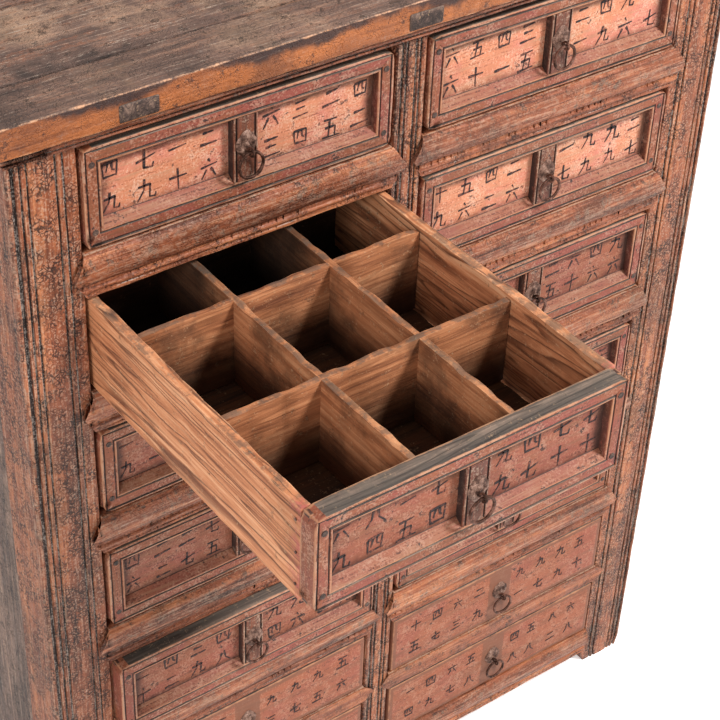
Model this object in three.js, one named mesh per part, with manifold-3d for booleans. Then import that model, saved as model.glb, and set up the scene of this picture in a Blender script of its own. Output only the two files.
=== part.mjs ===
// Apothecary cabinet: a chest of fourteen drawers in two columns, one of them pulled open.
// Millimetres, +Z up, fronts face -Y. The floor is Z = 0.

import * as THREE from 'three';
import { mergeVertices } from 'three/addons/utils/BufferGeometryUtils.js';
import Module from 'manifold-3d';

const wasm = await Module();
wasm.setup();

// ---------------------------------------------------------------- driving dimensions

const GAP = 0.3;                 // between pieces that touch

const BODY_WIDTH = 840;          // over the four posts
const BODY_DEPTH = 470;
const POST_WIDTH = 67.5;         // seen from the front
const POST_DEPTH = 58;
const STILE_WIDTH = 36;          // centre stile between the columns
const STILE_DEPTH = 20;

const TALL_OPENING = 107.5;      // rows 1 to 5
const SHORT_OPENING = 90;        // rows 6 and 7
const RAIL_HEIGHT = 46;          // moulded rails under rows 1 to 5
const PLAIN_RAIL_HEIGHT = 25.5;  // flat rail between rows 6 and 7
const BOTTOM_RAIL_HEIGHT = 42;
const FLOOR_CLEARANCE = 24;      // under the bottom rail
const RAIL_DEPTH = 40;
const RAIL_BULGE = 7;            // how far a rail stands in front of the posts
const RAIL_WING = 13;            // pointed end that laps over the stile
const DUST_BOARD = 10;           // board behind each rail that carries the drawers
const GUIDE_HEIGHT = 12;         // centre guide on a dust board

const CORNICE_HEIGHT = 13.7;
const CORNICE_OVERHANG = 12;
const HEADER_DROP = 3.7;         // step of the cornice board down between the posts
const TOP_THICKNESS = 31;
const TOP_OVERHANG_FRONT = 17;
const TOP_OVERHANG_SIDE = 12;
const TOP_MEMBER = 62;           // width of the top's front and back members
const TOP_END = 24;              // and of the narrow end members between them
const PANEL_THICKNESS = 14;
const BATTEN_WIDTH = 40;
const BATTEN_SPACING = 301;
const TENON_HEIGHT = 19;

const SIDE_INSET = 8;            // side panel behind the posts' outer faces
const SIDE_THICKNESS = 10;
const BACK_THICKNESS = 10;
const BACK_INSET = 10;

const DRAWER_SIDE_PLAY = 3;      // each side of a drawer front
const DRAWER_FOOT_PLAY = 2;
const DRAWER_HEAD_PLAY = 3.5;
const DRAWER_LENGTH = 425;
const FRONT_THICKNESS = 20;
const FRONT_PROUD = 1;           // drawer fronts stand this far in front of the posts
const SIDE_BOARD = 11;
const BACK_BOARD = 10;
const DIVIDER = 8;
const BOTTOM_BOARD = 6;
const DIVIDER_DROP = 3;          // dividers end below the top of the sides
const BOARD_DROP = 1;            // sides end below the top of the front

const FRONT_BAND = 18;           // frame round a sunk front
const BLOCK_WIDTH = 26;          // raised block behind the ring
const RECESS_DEPTH = 10;
const LEDGE_RISE = 7;            // sloping lower edge of the recess

const RING_RADIUS = 12.9;        // to the middle of the wire
const RING_WIRE = 1.6;           // wire radius
const EYE_RADIUS = 4.2;
const EYE_WIRE = 1.3;
const EYE_REACH = 8;             // hinge axis in front of the drawer's face
const PLATE_WIDTH = 21;
const PLATE_HEIGHT = 26;
const PLATE_THICKNESS = 2;

const OPEN_TRAVEL = 346;         // how far the open drawer stands out
const AJAR_TRAVEL = 12;          // and the one that is not pushed home

// ---------------------------------------------------------------- derived places

const HALF_WIDTH = BODY_WIDTH / 2;
const OPENING_WIDTH = (BODY_WIDTH - 2 * POST_WIDTH - STILE_WIDTH) / 2;
const COLUMN_X = { left: -(STILE_WIDTH + OPENING_WIDTH) / 2, right: (STILE_WIDTH + OPENING_WIDTH) / 2 };
const OPENING_EDGE = HALF_WIDTH - POST_WIDTH;
const FRONT_WIDTH = OPENING_WIDTH - 2 * DRAWER_SIDE_PLAY;
const BODY_TOP = levels()[0].top + HEADER_DROP;
const CORNICE_TOP = BODY_TOP + GAP + CORNICE_HEIGHT;
const TOP_BASE = CORNICE_TOP + GAP;
const TOP_Z = TOP_BASE + TOP_THICKNESS;

// The seven rows from the top down, each with its opening and the rail under it.
function levels() {
  const rows = [];
  let base = FLOOR_CLEARANCE + BOTTOM_RAIL_HEIGHT;
  for (let row = 7; row >= 1; row -= 1) {
    const short = row > 5;
    const top = base + (short ? SHORT_OPENING : TALL_OPENING);
    rows.unshift({ row, short, base, top });
    base = top + (row === 7 ? PLAIN_RAIL_HEIGHT : RAIL_HEIGHT);
  }
  return rows;
}

// ---------------------------------------------------------------- materials

function finish(color, roughness, metalness = 0) {
  return { color, roughness, metalness };
}

const FINISH = {
  topWood: finish('#5f4a3c', 0.62),
  frameWood: finish('#7d4a33', 0.6),
  redWood: finish('#a85c42', 0.62),
  frontPaint: finish('#c8775a', 0.66),
  rawWood: finish('#b98552', 0.75),
  iron: finish('#3f3029', 0.6, 0.85),
};

// ---------------------------------------------------------------- shape helpers

function box(xMin, xMax, yMin, yMax, zMin, zMax) {
  const geometry = new THREE.BoxGeometry(xMax - xMin, yMax - yMin, zMax - zMin);
  geometry.translate((xMin + xMax) / 2, (yMin + yMax) / 2, (zMin + zMax) / 2);
  return geometry;
}

function outline(points) {
  const shape = new THREE.Shape();
  points.forEach(([u, v], index) => (index ? shape.lineTo(u, v) : shape.moveTo(u, v)));
  shape.closePath();
  return shape;
}

// A section drawn in Y and Z, swept along X.
function alongX(points, xMin, xMax) {
  const geometry = new THREE.ExtrudeGeometry(outline(points), { depth: xMax - xMin, bevelEnabled: false });
  const turn = new THREE.Matrix4().makeBasis(
    new THREE.Vector3(0, 1, 0),
    new THREE.Vector3(0, 0, 1),
    new THREE.Vector3(1, 0, 0),
  );
  geometry.applyMatrix4(turn);
  geometry.translate(xMin, 0, 0);
  return geometry;
}

// An outline drawn in X and Z, swept along Y.
function alongY(points, yMin, yMax) {
  const geometry = new THREE.ExtrudeGeometry(outline(points), { depth: yMax - yMin, bevelEnabled: false });
  geometry.rotateX(Math.PI / 2);
  geometry.translate(0, yMax, 0);
  return geometry;
}

// An outline drawn in X and Y, swept along Z.
function alongZ(points, zMin, zMax) {
  const geometry = new THREE.ExtrudeGeometry(outline(points), { depth: zMax - zMin, bevelEnabled: false });
  geometry.translate(0, 0, zMin);
  return geometry;
}

function toManifold(geometry) {
  const bare = new THREE.BufferGeometry();
  bare.setAttribute('position', geometry.getAttribute('position').clone());
  bare.setIndex(geometry.getIndex());
  const merged = mergeVertices(bare, 1e-4);
  return new wasm.Manifold(new wasm.Mesh({
    numProp: 3,
    vertProperties: new Float32Array(merged.getAttribute('position').array),
    triVerts: new Uint32Array(merged.getIndex().array),
  }));
}

function fromManifold(solid) {
  const mesh = solid.getMesh();
  const geometry = new THREE.BufferGeometry();
  geometry.setAttribute('position', new THREE.Float32BufferAttribute(mesh.vertProperties, 3));
  geometry.setIndex(Array.from(mesh.triVerts));
  return geometry;
}

function join(geometries) {
  const solids = geometries.map(toManifold);
  return fromManifold(solids.reduce((whole, next) => whole.add(next)));
}

function cut(geometry, cutters) {
  const solids = cutters.map(toManifold);
  return fromManifold(solids.reduce((whole, next) => whole.subtract(next), toManifold(geometry)));
}

function common(first, second) {
  return fromManifold(toManifold(first).intersect(toManifold(second)));
}

const cabinet = new THREE.Group();
cabinet.name = 'apothecary_cabinet';

function addPiece(name, geometry, look) {
  const plain = geometry.index ? geometry.toNonIndexed() : geometry;
  plain.computeVertexNormals();
  const mesh = new THREE.Mesh(plain, new THREE.MeshStandardMaterial(look));
  mesh.name = name;
  cabinet.add(mesh);
}

// ---------------------------------------------------------------- posts, stile and panels

// Half of the front posts' face: a worn round outer edge, a bead, a flat field, a bead and a strip.
function postOutline() {
  return [
    [0, POST_DEPTH],
    [0, 4],
    [4, 0],
    [12.5, 0],
    [14.6, 2.5],
    [16.5, 0],
    [20.5, 0],
    [22, 2.5],
    [23.5, 0],
    [46.5, 0],
    [48, 2.5],
    [50, 0],
    [54, 0],
    [55.5, 2],
    [POST_WIDTH, 2],
    [POST_WIDTH, POST_DEPTH],
  ];
}

function frontPost(side) {
  const flip = side === 'left' ? 1 : -1;
  const points = postOutline().map(([u, v]) => [flip * (u - HALF_WIDTH), v]);
  return alongZ(flip < 0 ? points.reverse() : points, 0, BODY_TOP);
}

function addPosts() {
  addPiece('post_front_left', frontPost('left'), FINISH.frameWood);
  addPiece('post_front_right', frontPost('right'), FINISH.frameWood);
  const back = BODY_DEPTH - POST_DEPTH;
  addPiece(
    'post_back_left',
    box(-HALF_WIDTH, -OPENING_EDGE, back, BODY_DEPTH, 0, BODY_TOP),
    FINISH.frameWood,
  );
  addPiece(
    'post_back_right',
    box(OPENING_EDGE, HALF_WIDTH, back, BODY_DEPTH, 0, BODY_TOP),
    FINISH.frameWood,
  );
}

function addCentreStile() {
  const half = STILE_WIDTH / 2;
  const points = [
    [-half, STILE_DEPTH],
    [-half, 3],
    [-half + 3, 0],
    [-half + 9, 0],
    [-half + 11, 2.5],
    [half - 11, 2.5],
    [half - 9, 0],
    [half - 3, 0],
    [half, 3],
    [half, STILE_DEPTH],
  ];
  const base = FLOOR_CLEARANCE + BOTTOM_RAIL_HEIGHT + GAP;
  const stile = alongZ(points, base, BODY_TOP - HEADER_DROP - GAP);
  addPiece('centre_stile', stile, FINISH.frameWood);
}

function addPanels() {
  const outer = HALF_WIDTH - SIDE_INSET;
  const inner = outer - SIDE_THICKNESS;
  const front = POST_DEPTH + GAP;
  const back = BODY_DEPTH - POST_DEPTH - GAP;
  const railTop = FLOOR_CLEARANCE + BOTTOM_RAIL_HEIGHT + 4;
  for (const [side, sign] of [['left', -1], ['right', 1]]) {
    const railX = [sign * (HALF_WIDTH - 2), sign * (inner + GAP)].sort((a, b) => a - b);
    const panelX = [sign * outer, sign * (inner + GAP)].sort((a, b) => a - b);
    addPiece(
      `side_bottom_rail_${side}`,
      box(railX[0], railX[1], front, back, FLOOR_CLEARANCE, railTop),
      FINISH.frameWood,
    );
    addPiece(
      `side_panel_${side}`,
      box(panelX[0], panelX[1], front, back, railTop + GAP, BODY_TOP),
      FINISH.frameWood,
    );
  }
  const backFace = BODY_DEPTH - BACK_INSET;
  addPiece(
    'back_panel',
    box(GAP - OPENING_EDGE, OPENING_EDGE - GAP, backFace - BACK_THICKNESS, backFace, FLOOR_CLEARANCE, BODY_TOP),
    FINISH.rawWood,
  );
}

// ---------------------------------------------------------------- rails with their dust boards

// Section of a moulded rail: a wide cushion above a small bead.
function mouldedSection(top, height) {
  const points = [[RAIL_DEPTH, top], [0, top]];
  const cushion = height * 0.72;
  const steps = 7;
  for (let i = 0; i <= steps; i += 1) {
    const angle = Math.PI * (i / steps);
    points.push([-RAIL_BULGE * Math.sin(angle) - 0.5, top - cushion / 2 + (cushion / 2 - 1) * Math.cos(angle)]);
  }
  const beadTop = top - cushion - 1.5;
  const beadHeight = height - cushion - 3;
  for (let i = 0; i <= 4; i += 1) {
    const angle = Math.PI * (i / 4);
    points.push([-3.5 * Math.sin(angle) - 0.5, beadTop - beadHeight / 2 + (beadHeight / 2) * Math.cos(angle)]);
  }
  points.push([1, top - height], [RAIL_DEPTH, top - height]);
  return points.reverse();
}

function plainSection(top, height) {
  return [
    [RAIL_DEPTH, top - height],
    [-1, top - height],
    [-3, top - height + 2],
    [-3, top - 2],
    [-1, top],
    [RAIL_DEPTH, top],
  ];
}

// One column's share of a rail, with pointed ends lapping over the post and the stile.
function railFace(section, centre, top, height) {
  const half = OPENING_WIDTH / 2;
  const reach = half + RAIL_WING;
  const whole = alongX(section, centre - reach, centre + reach);
  const middle = top - height / 2;
  const pointed = alongY([
    [centre - reach, middle],
    [centre - half + 2, top - height - 1],
    [centre + half - 2, top - height - 1],
    [centre + reach, middle],
    [centre + half - 2, top + 1],
    [centre - half + 2, top + 1],
  ], -RAIL_BULGE - 5, RAIL_DEPTH + 5);
  const laps = [-1, 1].map((sign) => {
    const near = centre + sign * (half - GAP);
    const far = centre + sign * (reach + 5);
    return box(Math.min(near, far), Math.max(near, far), -GAP, RAIL_DEPTH + 5, top - height - 2, top + 2);
  });
  return cut(common(whole, pointed), laps);
}

function dustBoard(top) {
  const narrow = OPENING_EDGE - GAP;
  const wide = HALF_WIDTH - SIDE_INSET - SIDE_THICKNESS;
  const front = RAIL_DEPTH - 5;
  const back = BODY_DEPTH - BACK_INSET - BACK_THICKNESS - GAP;
  const postFront = POST_DEPTH + GAP;
  const postBack = BODY_DEPTH - POST_DEPTH - GAP;
  const board = alongZ([
    [-narrow, front],
    [narrow, front],
    [narrow, postFront],
    [wide, postFront],
    [wide, postBack],
    [narrow, postBack],
    [narrow, back],
    [-narrow, back],
    [-narrow, postBack],
    [-wide, postBack],
    [-wide, postFront],
    [-narrow, postFront],
  ], top - DUST_BOARD, top);
  const half = STILE_WIDTH / 2 - 1;
  const guide = box(-half, half, RAIL_DEPTH, back, top - 2, top + GUIDE_HEIGHT);
  return join([board, guide]);
}

function addRail(name, top, height, section) {
  const bar = box(
    GAP - OPENING_EDGE,
    OPENING_EDGE - GAP,
    STILE_DEPTH + GAP,
    RAIL_DEPTH,
    top - height,
    top,
  );
  const faces = Object.values(COLUMN_X).map((centre) => railFace(section, centre, top, height));
  addPiece(name, join([bar, ...faces, dustBoard(top)]), FINISH.frameWood);
}

function addBottomRail() {
  const top = FLOOR_CLEARANCE + BOTTOM_RAIL_HEIGHT;
  const section = mouldedSection(top, BOTTOM_RAIL_HEIGHT);
  const edge = OPENING_EDGE - GAP;
  const rail = alongX(section, -edge, edge);
  addPiece('rail_bottom', join([rail, dustBoard(top)]), FINISH.frameWood);
}

function addRails() {
  for (const { row, base } of levels()) {
    if (row < 6) {
      addRail(`rail_under_row_${row}`, base, RAIL_HEIGHT, mouldedSection(base, RAIL_HEIGHT));
    }
    if (row === 6) {
      addRail('rail_under_row_6', base, PLAIN_RAIL_HEIGHT, plainSection(base, PLAIN_RAIL_HEIGHT));
    }
  }
  addBottomRail();
}

// ---------------------------------------------------------------- cornice and top

function addCornice() {
  const base = BODY_TOP + GAP;
  const reach = HALF_WIDTH + CORNICE_OVERHANG - 3;
  const section = [
    [BODY_DEPTH + 4, base],
    [-5, base],
    [-7, base + 2.5],
    [-5, base + 5],
    [-8, base + 6.5],
    [-CORNICE_OVERHANG, base + 9],
    [-CORNICE_OVERHANG, base + 12],
    [-CORNICE_OVERHANG + 2, CORNICE_TOP],
    [BODY_DEPTH + 4, CORNICE_TOP],
  ];
  const board = alongX(section, -reach, reach);
  const edge = OPENING_EDGE - GAP;
  const header = box(-edge, edge, 1, BODY_DEPTH - POST_DEPTH, base - HEADER_DROP, base + 2);
  addPiece('cornice_board', join([board, header]), FINISH.frameWood);
}

function addTop() {
  const left = -HALF_WIDTH - TOP_OVERHANG_SIDE;
  const front = -TOP_OVERHANG_FRONT;
  const back = BODY_DEPTH + TOP_OVERHANG_SIDE;
  const innerX = left + TOP_END;
  const innerFront = front + TOP_MEMBER;
  const innerBack = back - TOP_MEMBER;
  const frontMember = box(left, -left, front, innerFront, TOP_BASE, TOP_Z);
  const backMember = box(left, -left, innerBack, back, TOP_BASE, TOP_Z);
  const endFront = innerFront + GAP;
  const endBack = innerBack - GAP;
  const leftMember = box(left, innerX, endFront, endBack, TOP_BASE, TOP_Z);
  const rightMember = box(-innerX, -left, endFront, endBack, TOP_BASE, TOP_Z);

  const tenonBase = TOP_BASE + 2;
  const battenX = [-BATTEN_SPACING, 0, BATTEN_SPACING];
  const half = BATTEN_WIDTH / 2;
  const mortises = battenX.map((x) => box(
    x - half - GAP,
    x + half + GAP,
    front - 5,
    back + 5,
    tenonBase - GAP,
    tenonBase + TENON_HEIGHT + GAP,
  ));
  addPiece('top_front_member', cut(frontMember, mortises), FINISH.topWood);
  addPiece('top_back_member', cut(backMember, mortises), FINISH.topWood);
  addPiece('top_left_member', leftMember, FINISH.topWood);
  addPiece('top_right_member', rightMember, FINISH.topWood);

  const panel = box(
    innerX + GAP,
    -innerX - GAP,
    innerFront + GAP,
    innerBack - GAP,
    TOP_Z - PANEL_THICKNESS,
    TOP_Z,
  );
  const battens = battenX.map((x) => box(x - half, x + half, front, back, tenonBase, tenonBase + TENON_HEIGHT));
  addPiece('top_panel_with_battens', join([panel, ...battens]), FINISH.topWood);
}

// ---------------------------------------------------------------- drawers

// Sizes of the drawer in one row: its front and the box behind it, in the cabinet's own frame.
function drawerPlace(level, column, pulledOut) {
  const centre = COLUMN_X[column];
  const half = FRONT_WIDTH / 2;
  const face = -FRONT_PROUD - pulledOut;
  const top = level.top - DRAWER_HEAD_PLAY;
  return {
    centre,
    short: level.short,
    left: centre - half,
    right: centre + half,
    face,
    boxFront: face + FRONT_THICKNESS,
    back: face + DRAWER_LENGTH,
    base: level.base + DRAWER_FOOT_PLAY,
    top,
    boxTop: top - BOARD_DROP,
    middle: (level.base + DRAWER_FOOT_PLAY + top) / 2,
  };
}

// Clear size and first corner of the three by three compartments.
function compartments(place) {
  const innerLeft = place.left + SIDE_BOARD;
  const innerBack = place.back - BACK_BOARD;
  const width = (FRONT_WIDTH - 2 * SIDE_BOARD - 2 * DIVIDER) / 3;
  const length = (innerBack - place.boxFront - 2 * DIVIDER) / 3;
  return { innerLeft, width, length, floor: place.base + BOTTOM_BOARD };
}

function recessCutters(place) {
  const low = place.base + FRONT_BAND;
  const high = place.top - FRONT_BAND;
  const floorY = place.face + RECESS_DEPTH;
  const section = [
    [place.face - 1, low - LEDGE_RISE / RECESS_DEPTH],
    [floorY, low + LEDGE_RISE],
    [floorY, high],
    [place.face - 1, high],
  ];
  const near = BLOCK_WIDTH / 2;
  const far = FRONT_WIDTH / 2 - FRONT_BAND;
  return [
    alongX(section, place.centre - far, place.centre - near),
    alongX(section, place.centre + near, place.centre + far),
  ];
}

// Back plate and eye for the ring, standing on the face of the drawer.
function pullPlate(place) {
  const plate = new THREE.CylinderGeometry(0.5, 0.5, 1, 12);
  plate.scale(PLATE_WIDTH, PLATE_THICKNESS + 1, PLATE_HEIGHT);
  plate.translate(place.centre, place.face - PLATE_THICKNESS / 2 + 0.5, place.middle);
  const eye = new THREE.TorusGeometry(EYE_RADIUS, EYE_WIRE, 6, 10);
  eye.rotateY(Math.PI / 2);
  eye.translate(place.centre, place.face - EYE_REACH, place.middle);
  const shank = box(
    place.centre - EYE_WIRE * 0.8,
    place.centre + EYE_WIRE * 0.8,
    place.face - EYE_REACH + EYE_RADIUS - 0.4,
    place.face + 1,
    place.middle - 1.6,
    place.middle + 1.6,
  );
  return [plate, eye, shank];
}

function drawerFront(place) {
  const slab = box(place.left, place.right, place.face, place.boxFront, place.base, place.top);
  const carved = place.short ? slab : cut(slab, recessCutters(place));
  return join([carved, ...pullPlate(place)]);
}

// A whole closed drawer as one piece: front, box and its nine compartments.
function closedDrawer(place) {
  const body = box(place.left, place.right, place.boxFront - 1, place.back, place.base, place.boxTop);
  const { innerLeft, width, length, floor } = compartments(place);
  const pockets = [];
  for (let i = 0; i < 3; i += 1) {
    for (let j = 0; j < 3; j += 1) {
      const x = innerLeft + i * (width + DIVIDER);
      const y = place.boxFront + j * (length + DIVIDER);
      pockets.push(box(x, x + width, y, y + length, floor, place.top + 5));
    }
  }
  return join([cut(body, pockets), drawerFront(place)]);
}

// The open drawer, board by board.
function addOpenDrawer(prefix, place) {
  const { innerLeft, width, length, floor } = compartments(place);
  const innerRight = place.right - SIDE_BOARD;
  const front = place.boxFront + GAP;
  const innerBack = place.back - BACK_BOARD;
  addPiece(`${prefix}_front`, drawerFront(place), FINISH.frontPaint);
  addPiece(
    `${prefix}_left_side`,
    box(place.left, innerLeft, front, place.back, place.base, place.boxTop),
    FINISH.rawWood,
  );
  addPiece(
    `${prefix}_right_side`,
    box(innerRight, place.right, front, place.back, place.base, place.boxTop),
    FINISH.rawWood,
  );
  addPiece(
    `${prefix}_back`,
    box(innerLeft + GAP, innerRight - GAP, innerBack, place.back, place.base, place.boxTop),
    FINISH.rawWood,
  );
  addPiece(
    `${prefix}_bottom`,
    box(innerLeft + GAP, innerRight - GAP, front, innerBack - GAP, place.base, floor),
    FINISH.rawWood,
  );

  const low = floor + GAP;
  const high = place.boxTop - DIVIDER_DROP;
  const half = (low + high) / 2;
  const longX = [1, 2].map((n) => innerLeft + n * width + (n - 1) * DIVIDER);
  const crossY = [1, 2].map((n) => place.boxFront + n * length + (n - 1) * DIVIDER);
  longX.forEach((x, index) => {
    const board = box(x, x + DIVIDER, front, innerBack - GAP, low, high);
    const slots = crossY.map((y) => box(x - 5, x + DIVIDER + 5, y - GAP, y + DIVIDER + GAP, half, high + 5));
    addPiece(`${prefix}_long_divider_${index + 1}`, cut(board, slots), FINISH.rawWood);
  });
  crossY.forEach((y, index) => {
    const board = box(innerLeft + GAP, innerRight - GAP, y, y + DIVIDER, low, high);
    const slots = longX.map((x) => box(x - GAP, x + DIVIDER + GAP, y - 5, y + DIVIDER + 5, low - 5, half + GAP));
    addPiece(`${prefix}_cross_divider_${index + 1}`, cut(board, slots), FINISH.rawWood);
  });
}

function addRing(name, place) {
  const ring = new THREE.TorusGeometry(RING_RADIUS, RING_WIRE, 6, 18);
  ring.rotateX(Math.PI / 2);
  ring.translate(place.centre, place.face - EYE_REACH, place.middle - RING_RADIUS);
  addPiece(name, ring, FINISH.iron);
}

function pulledOut(row, column) {
  if (column === 'left' && row === 2) return OPEN_TRAVEL;
  if (column === 'left' && row === 5) return AJAR_TRAVEL;
  return 0;
}

function addDrawers() {
  for (const level of levels()) {
    for (const column of ['left', 'right']) {
      const place = drawerPlace(level, column, pulledOut(level.row, column));
      const name = `drawer_${column}_${level.row}`;
      if (column === 'left' && level.row === 2) {
        addOpenDrawer(name, place);
      } else {
        addPiece(name, closedDrawer(place), FINISH.frontPaint);
      }
      addRing(`ring_${column}_${level.row}`, place);
    }
  }
}

// ---------------------------------------------------------------- the whole cabinet

addPosts();
addCentreStile();
addPanels();
addRails();
addCornice();
addTop();
addDrawers();

// The origin lies on the floor under the middle of the whole outline.
const outlineBox = new THREE.Box3().setFromObject(cabinet);
cabinet.position.y = -(outlineBox.min.y + outlineBox.max.y) / 2;

export default cabinet;
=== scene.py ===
# %% [markdown]
# # An antique apothecary cabinet
# A medicine chest from a country pharmacy: fourteen drawers in two columns, each with an iron ring, in
# a post-and-rail frame under a framed top. One drawer is pulled out and shows its nine compartments.
# This script dresses it: each board, moulding and ring is modelled here at the place the CAD gives.

# %% Load the frame
import math
import random

import bmesh
import bpy
from mathutils import Matrix, Vector, noise


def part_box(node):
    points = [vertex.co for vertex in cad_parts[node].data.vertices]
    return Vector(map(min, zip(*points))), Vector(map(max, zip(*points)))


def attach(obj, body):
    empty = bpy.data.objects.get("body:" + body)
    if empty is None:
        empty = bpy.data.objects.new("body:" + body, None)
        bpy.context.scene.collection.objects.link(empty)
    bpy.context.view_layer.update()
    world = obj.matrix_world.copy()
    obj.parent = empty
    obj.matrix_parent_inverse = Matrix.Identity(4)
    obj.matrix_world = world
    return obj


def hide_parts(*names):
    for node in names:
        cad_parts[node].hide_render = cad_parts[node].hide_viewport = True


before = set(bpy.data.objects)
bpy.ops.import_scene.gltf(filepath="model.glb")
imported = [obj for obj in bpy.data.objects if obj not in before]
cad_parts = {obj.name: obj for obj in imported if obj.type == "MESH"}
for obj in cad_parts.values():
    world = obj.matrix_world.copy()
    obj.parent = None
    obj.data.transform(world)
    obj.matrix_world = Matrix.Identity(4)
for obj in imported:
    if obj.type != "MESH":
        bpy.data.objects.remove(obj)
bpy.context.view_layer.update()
MM = 0.001

# %% [markdown]
# ## Read the main places from the frame
# Nothing is typed twice: the front plane of the posts, the width of the stile and the level of every
# rail are read from the boxes of the CAD nodes. If the CAD changes, the pieces below follow it.

# %% Places
def node_box(name):
    low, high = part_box(name)
    return Vector(low), Vector(high)


post_low, post_high = node_box("post_front_left")
FRONT_Y = post_low.y
POST_WIDTH = post_high.x - post_low.x
HALF_WIDTH = -post_low.x
BODY_TOP = post_high.z
OPENING_EDGE = -post_high.x
stile_low, stile_high = node_box("centre_stile")
STILE_HALF = stile_high.x
COLUMN_CENTRE = (OPENING_EDGE + STILE_HALF) / 2
COLUMNS = {"left": -COLUMN_CENTRE, "right": COLUMN_CENTRE}
OPENING_WIDTH = OPENING_EDGE - STILE_HALF
GAP = 0.3 * MM
HAIR_GAP = 0.2 * MM
print("opening width in millimetres:", round(OPENING_WIDTH / MM, 1))

# %% [markdown]
# ## The camera
# The cabinet is seen from the front left and from above, with a fairly long lens and a slight roll.
# Azimuth and elevation turn the view, and the position is measured from the middle of the posts' front.

# %% Camera
CAMERA_PLACE = Vector((-0.972, FRONT_Y - 1.202, 1.855))
CAMERA_AZIMUTH = math.radians(-37.6)
CAMERA_ELEVATION = math.radians(37.6)
CAMERA_ROLL = math.radians(2.53)
CAMERA_LENS = 93.5
SENSOR = 36.0


def make_camera():
    back = Vector((
        math.sin(CAMERA_AZIMUTH) * math.cos(CAMERA_ELEVATION),
        -math.cos(CAMERA_AZIMUTH) * math.cos(CAMERA_ELEVATION),
        math.sin(CAMERA_ELEVATION),
    ))
    right = Vector((math.cos(CAMERA_AZIMUTH), math.sin(CAMERA_AZIMUTH), 0))
    up = back.cross(right)
    basis = Matrix((right, up, back)).transposed()
    turn = basis @ Matrix.Rotation(CAMERA_ROLL, 3, "Z")
    data = bpy.data.cameras.new("camera")
    data.lens = CAMERA_LENS
    data.sensor_width = SENSOR
    camera = bpy.data.objects.new("camera", data)
    camera.matrix_world = Matrix.Translation(CAMERA_PLACE) @ turn.to_4x4()
    bpy.context.scene.collection.objects.link(camera)
    bpy.context.scene.camera = camera
    return camera


make_camera()
print("camera at", [round(v, 3) for v in CAMERA_PLACE])

# %% [markdown]
# ## Shader maths as plain expressions
# A shader is a network of nodes, which is hard to read as code. Two small classes hide the wiring.
# `Signal` wraps an output socket, so that `1 - mask * 0.5` adds the Math nodes it needs.
# `Finish` owns one material and makes any other node from its type, its settings and its inputs.

# %% Signal and Finish
CRACK_WOBBLE = 0.014
SHINE = 0.32


class Signal:
    """A number that changes over a surface."""

    def __init__(self, tree, socket):
        self.tree = tree
        self.socket = socket

    def math(self, operation, *values):
        node = self.tree.nodes.new("ShaderNodeMath")
        node.operation = operation
        for entry, value in zip(node.inputs, values):
            plug(self.tree, entry, value)
        return Signal(self.tree, node.outputs[0])

    def __add__(self, other):
        return self.math("ADD", self, other)

    __radd__ = __add__

    def __sub__(self, other):
        return self.math("SUBTRACT", self, other)

    def __rsub__(self, other):
        return self.math("SUBTRACT", other, self)

    def __mul__(self, other):
        return self.math("MULTIPLY", self, other)

    __rmul__ = __mul__

    def lower(self, other):
        return self.math("MINIMUM", self, other)

    def higher(self, other):
        return self.math("MAXIMUM", self, other)


def plug(tree, entry, value):
    if isinstance(value, Signal):
        tree.links.new(value.socket, entry)
    elif isinstance(value, bpy.types.NodeSocket):
        tree.links.new(value, entry)
    else:
        entry.default_value = value


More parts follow.
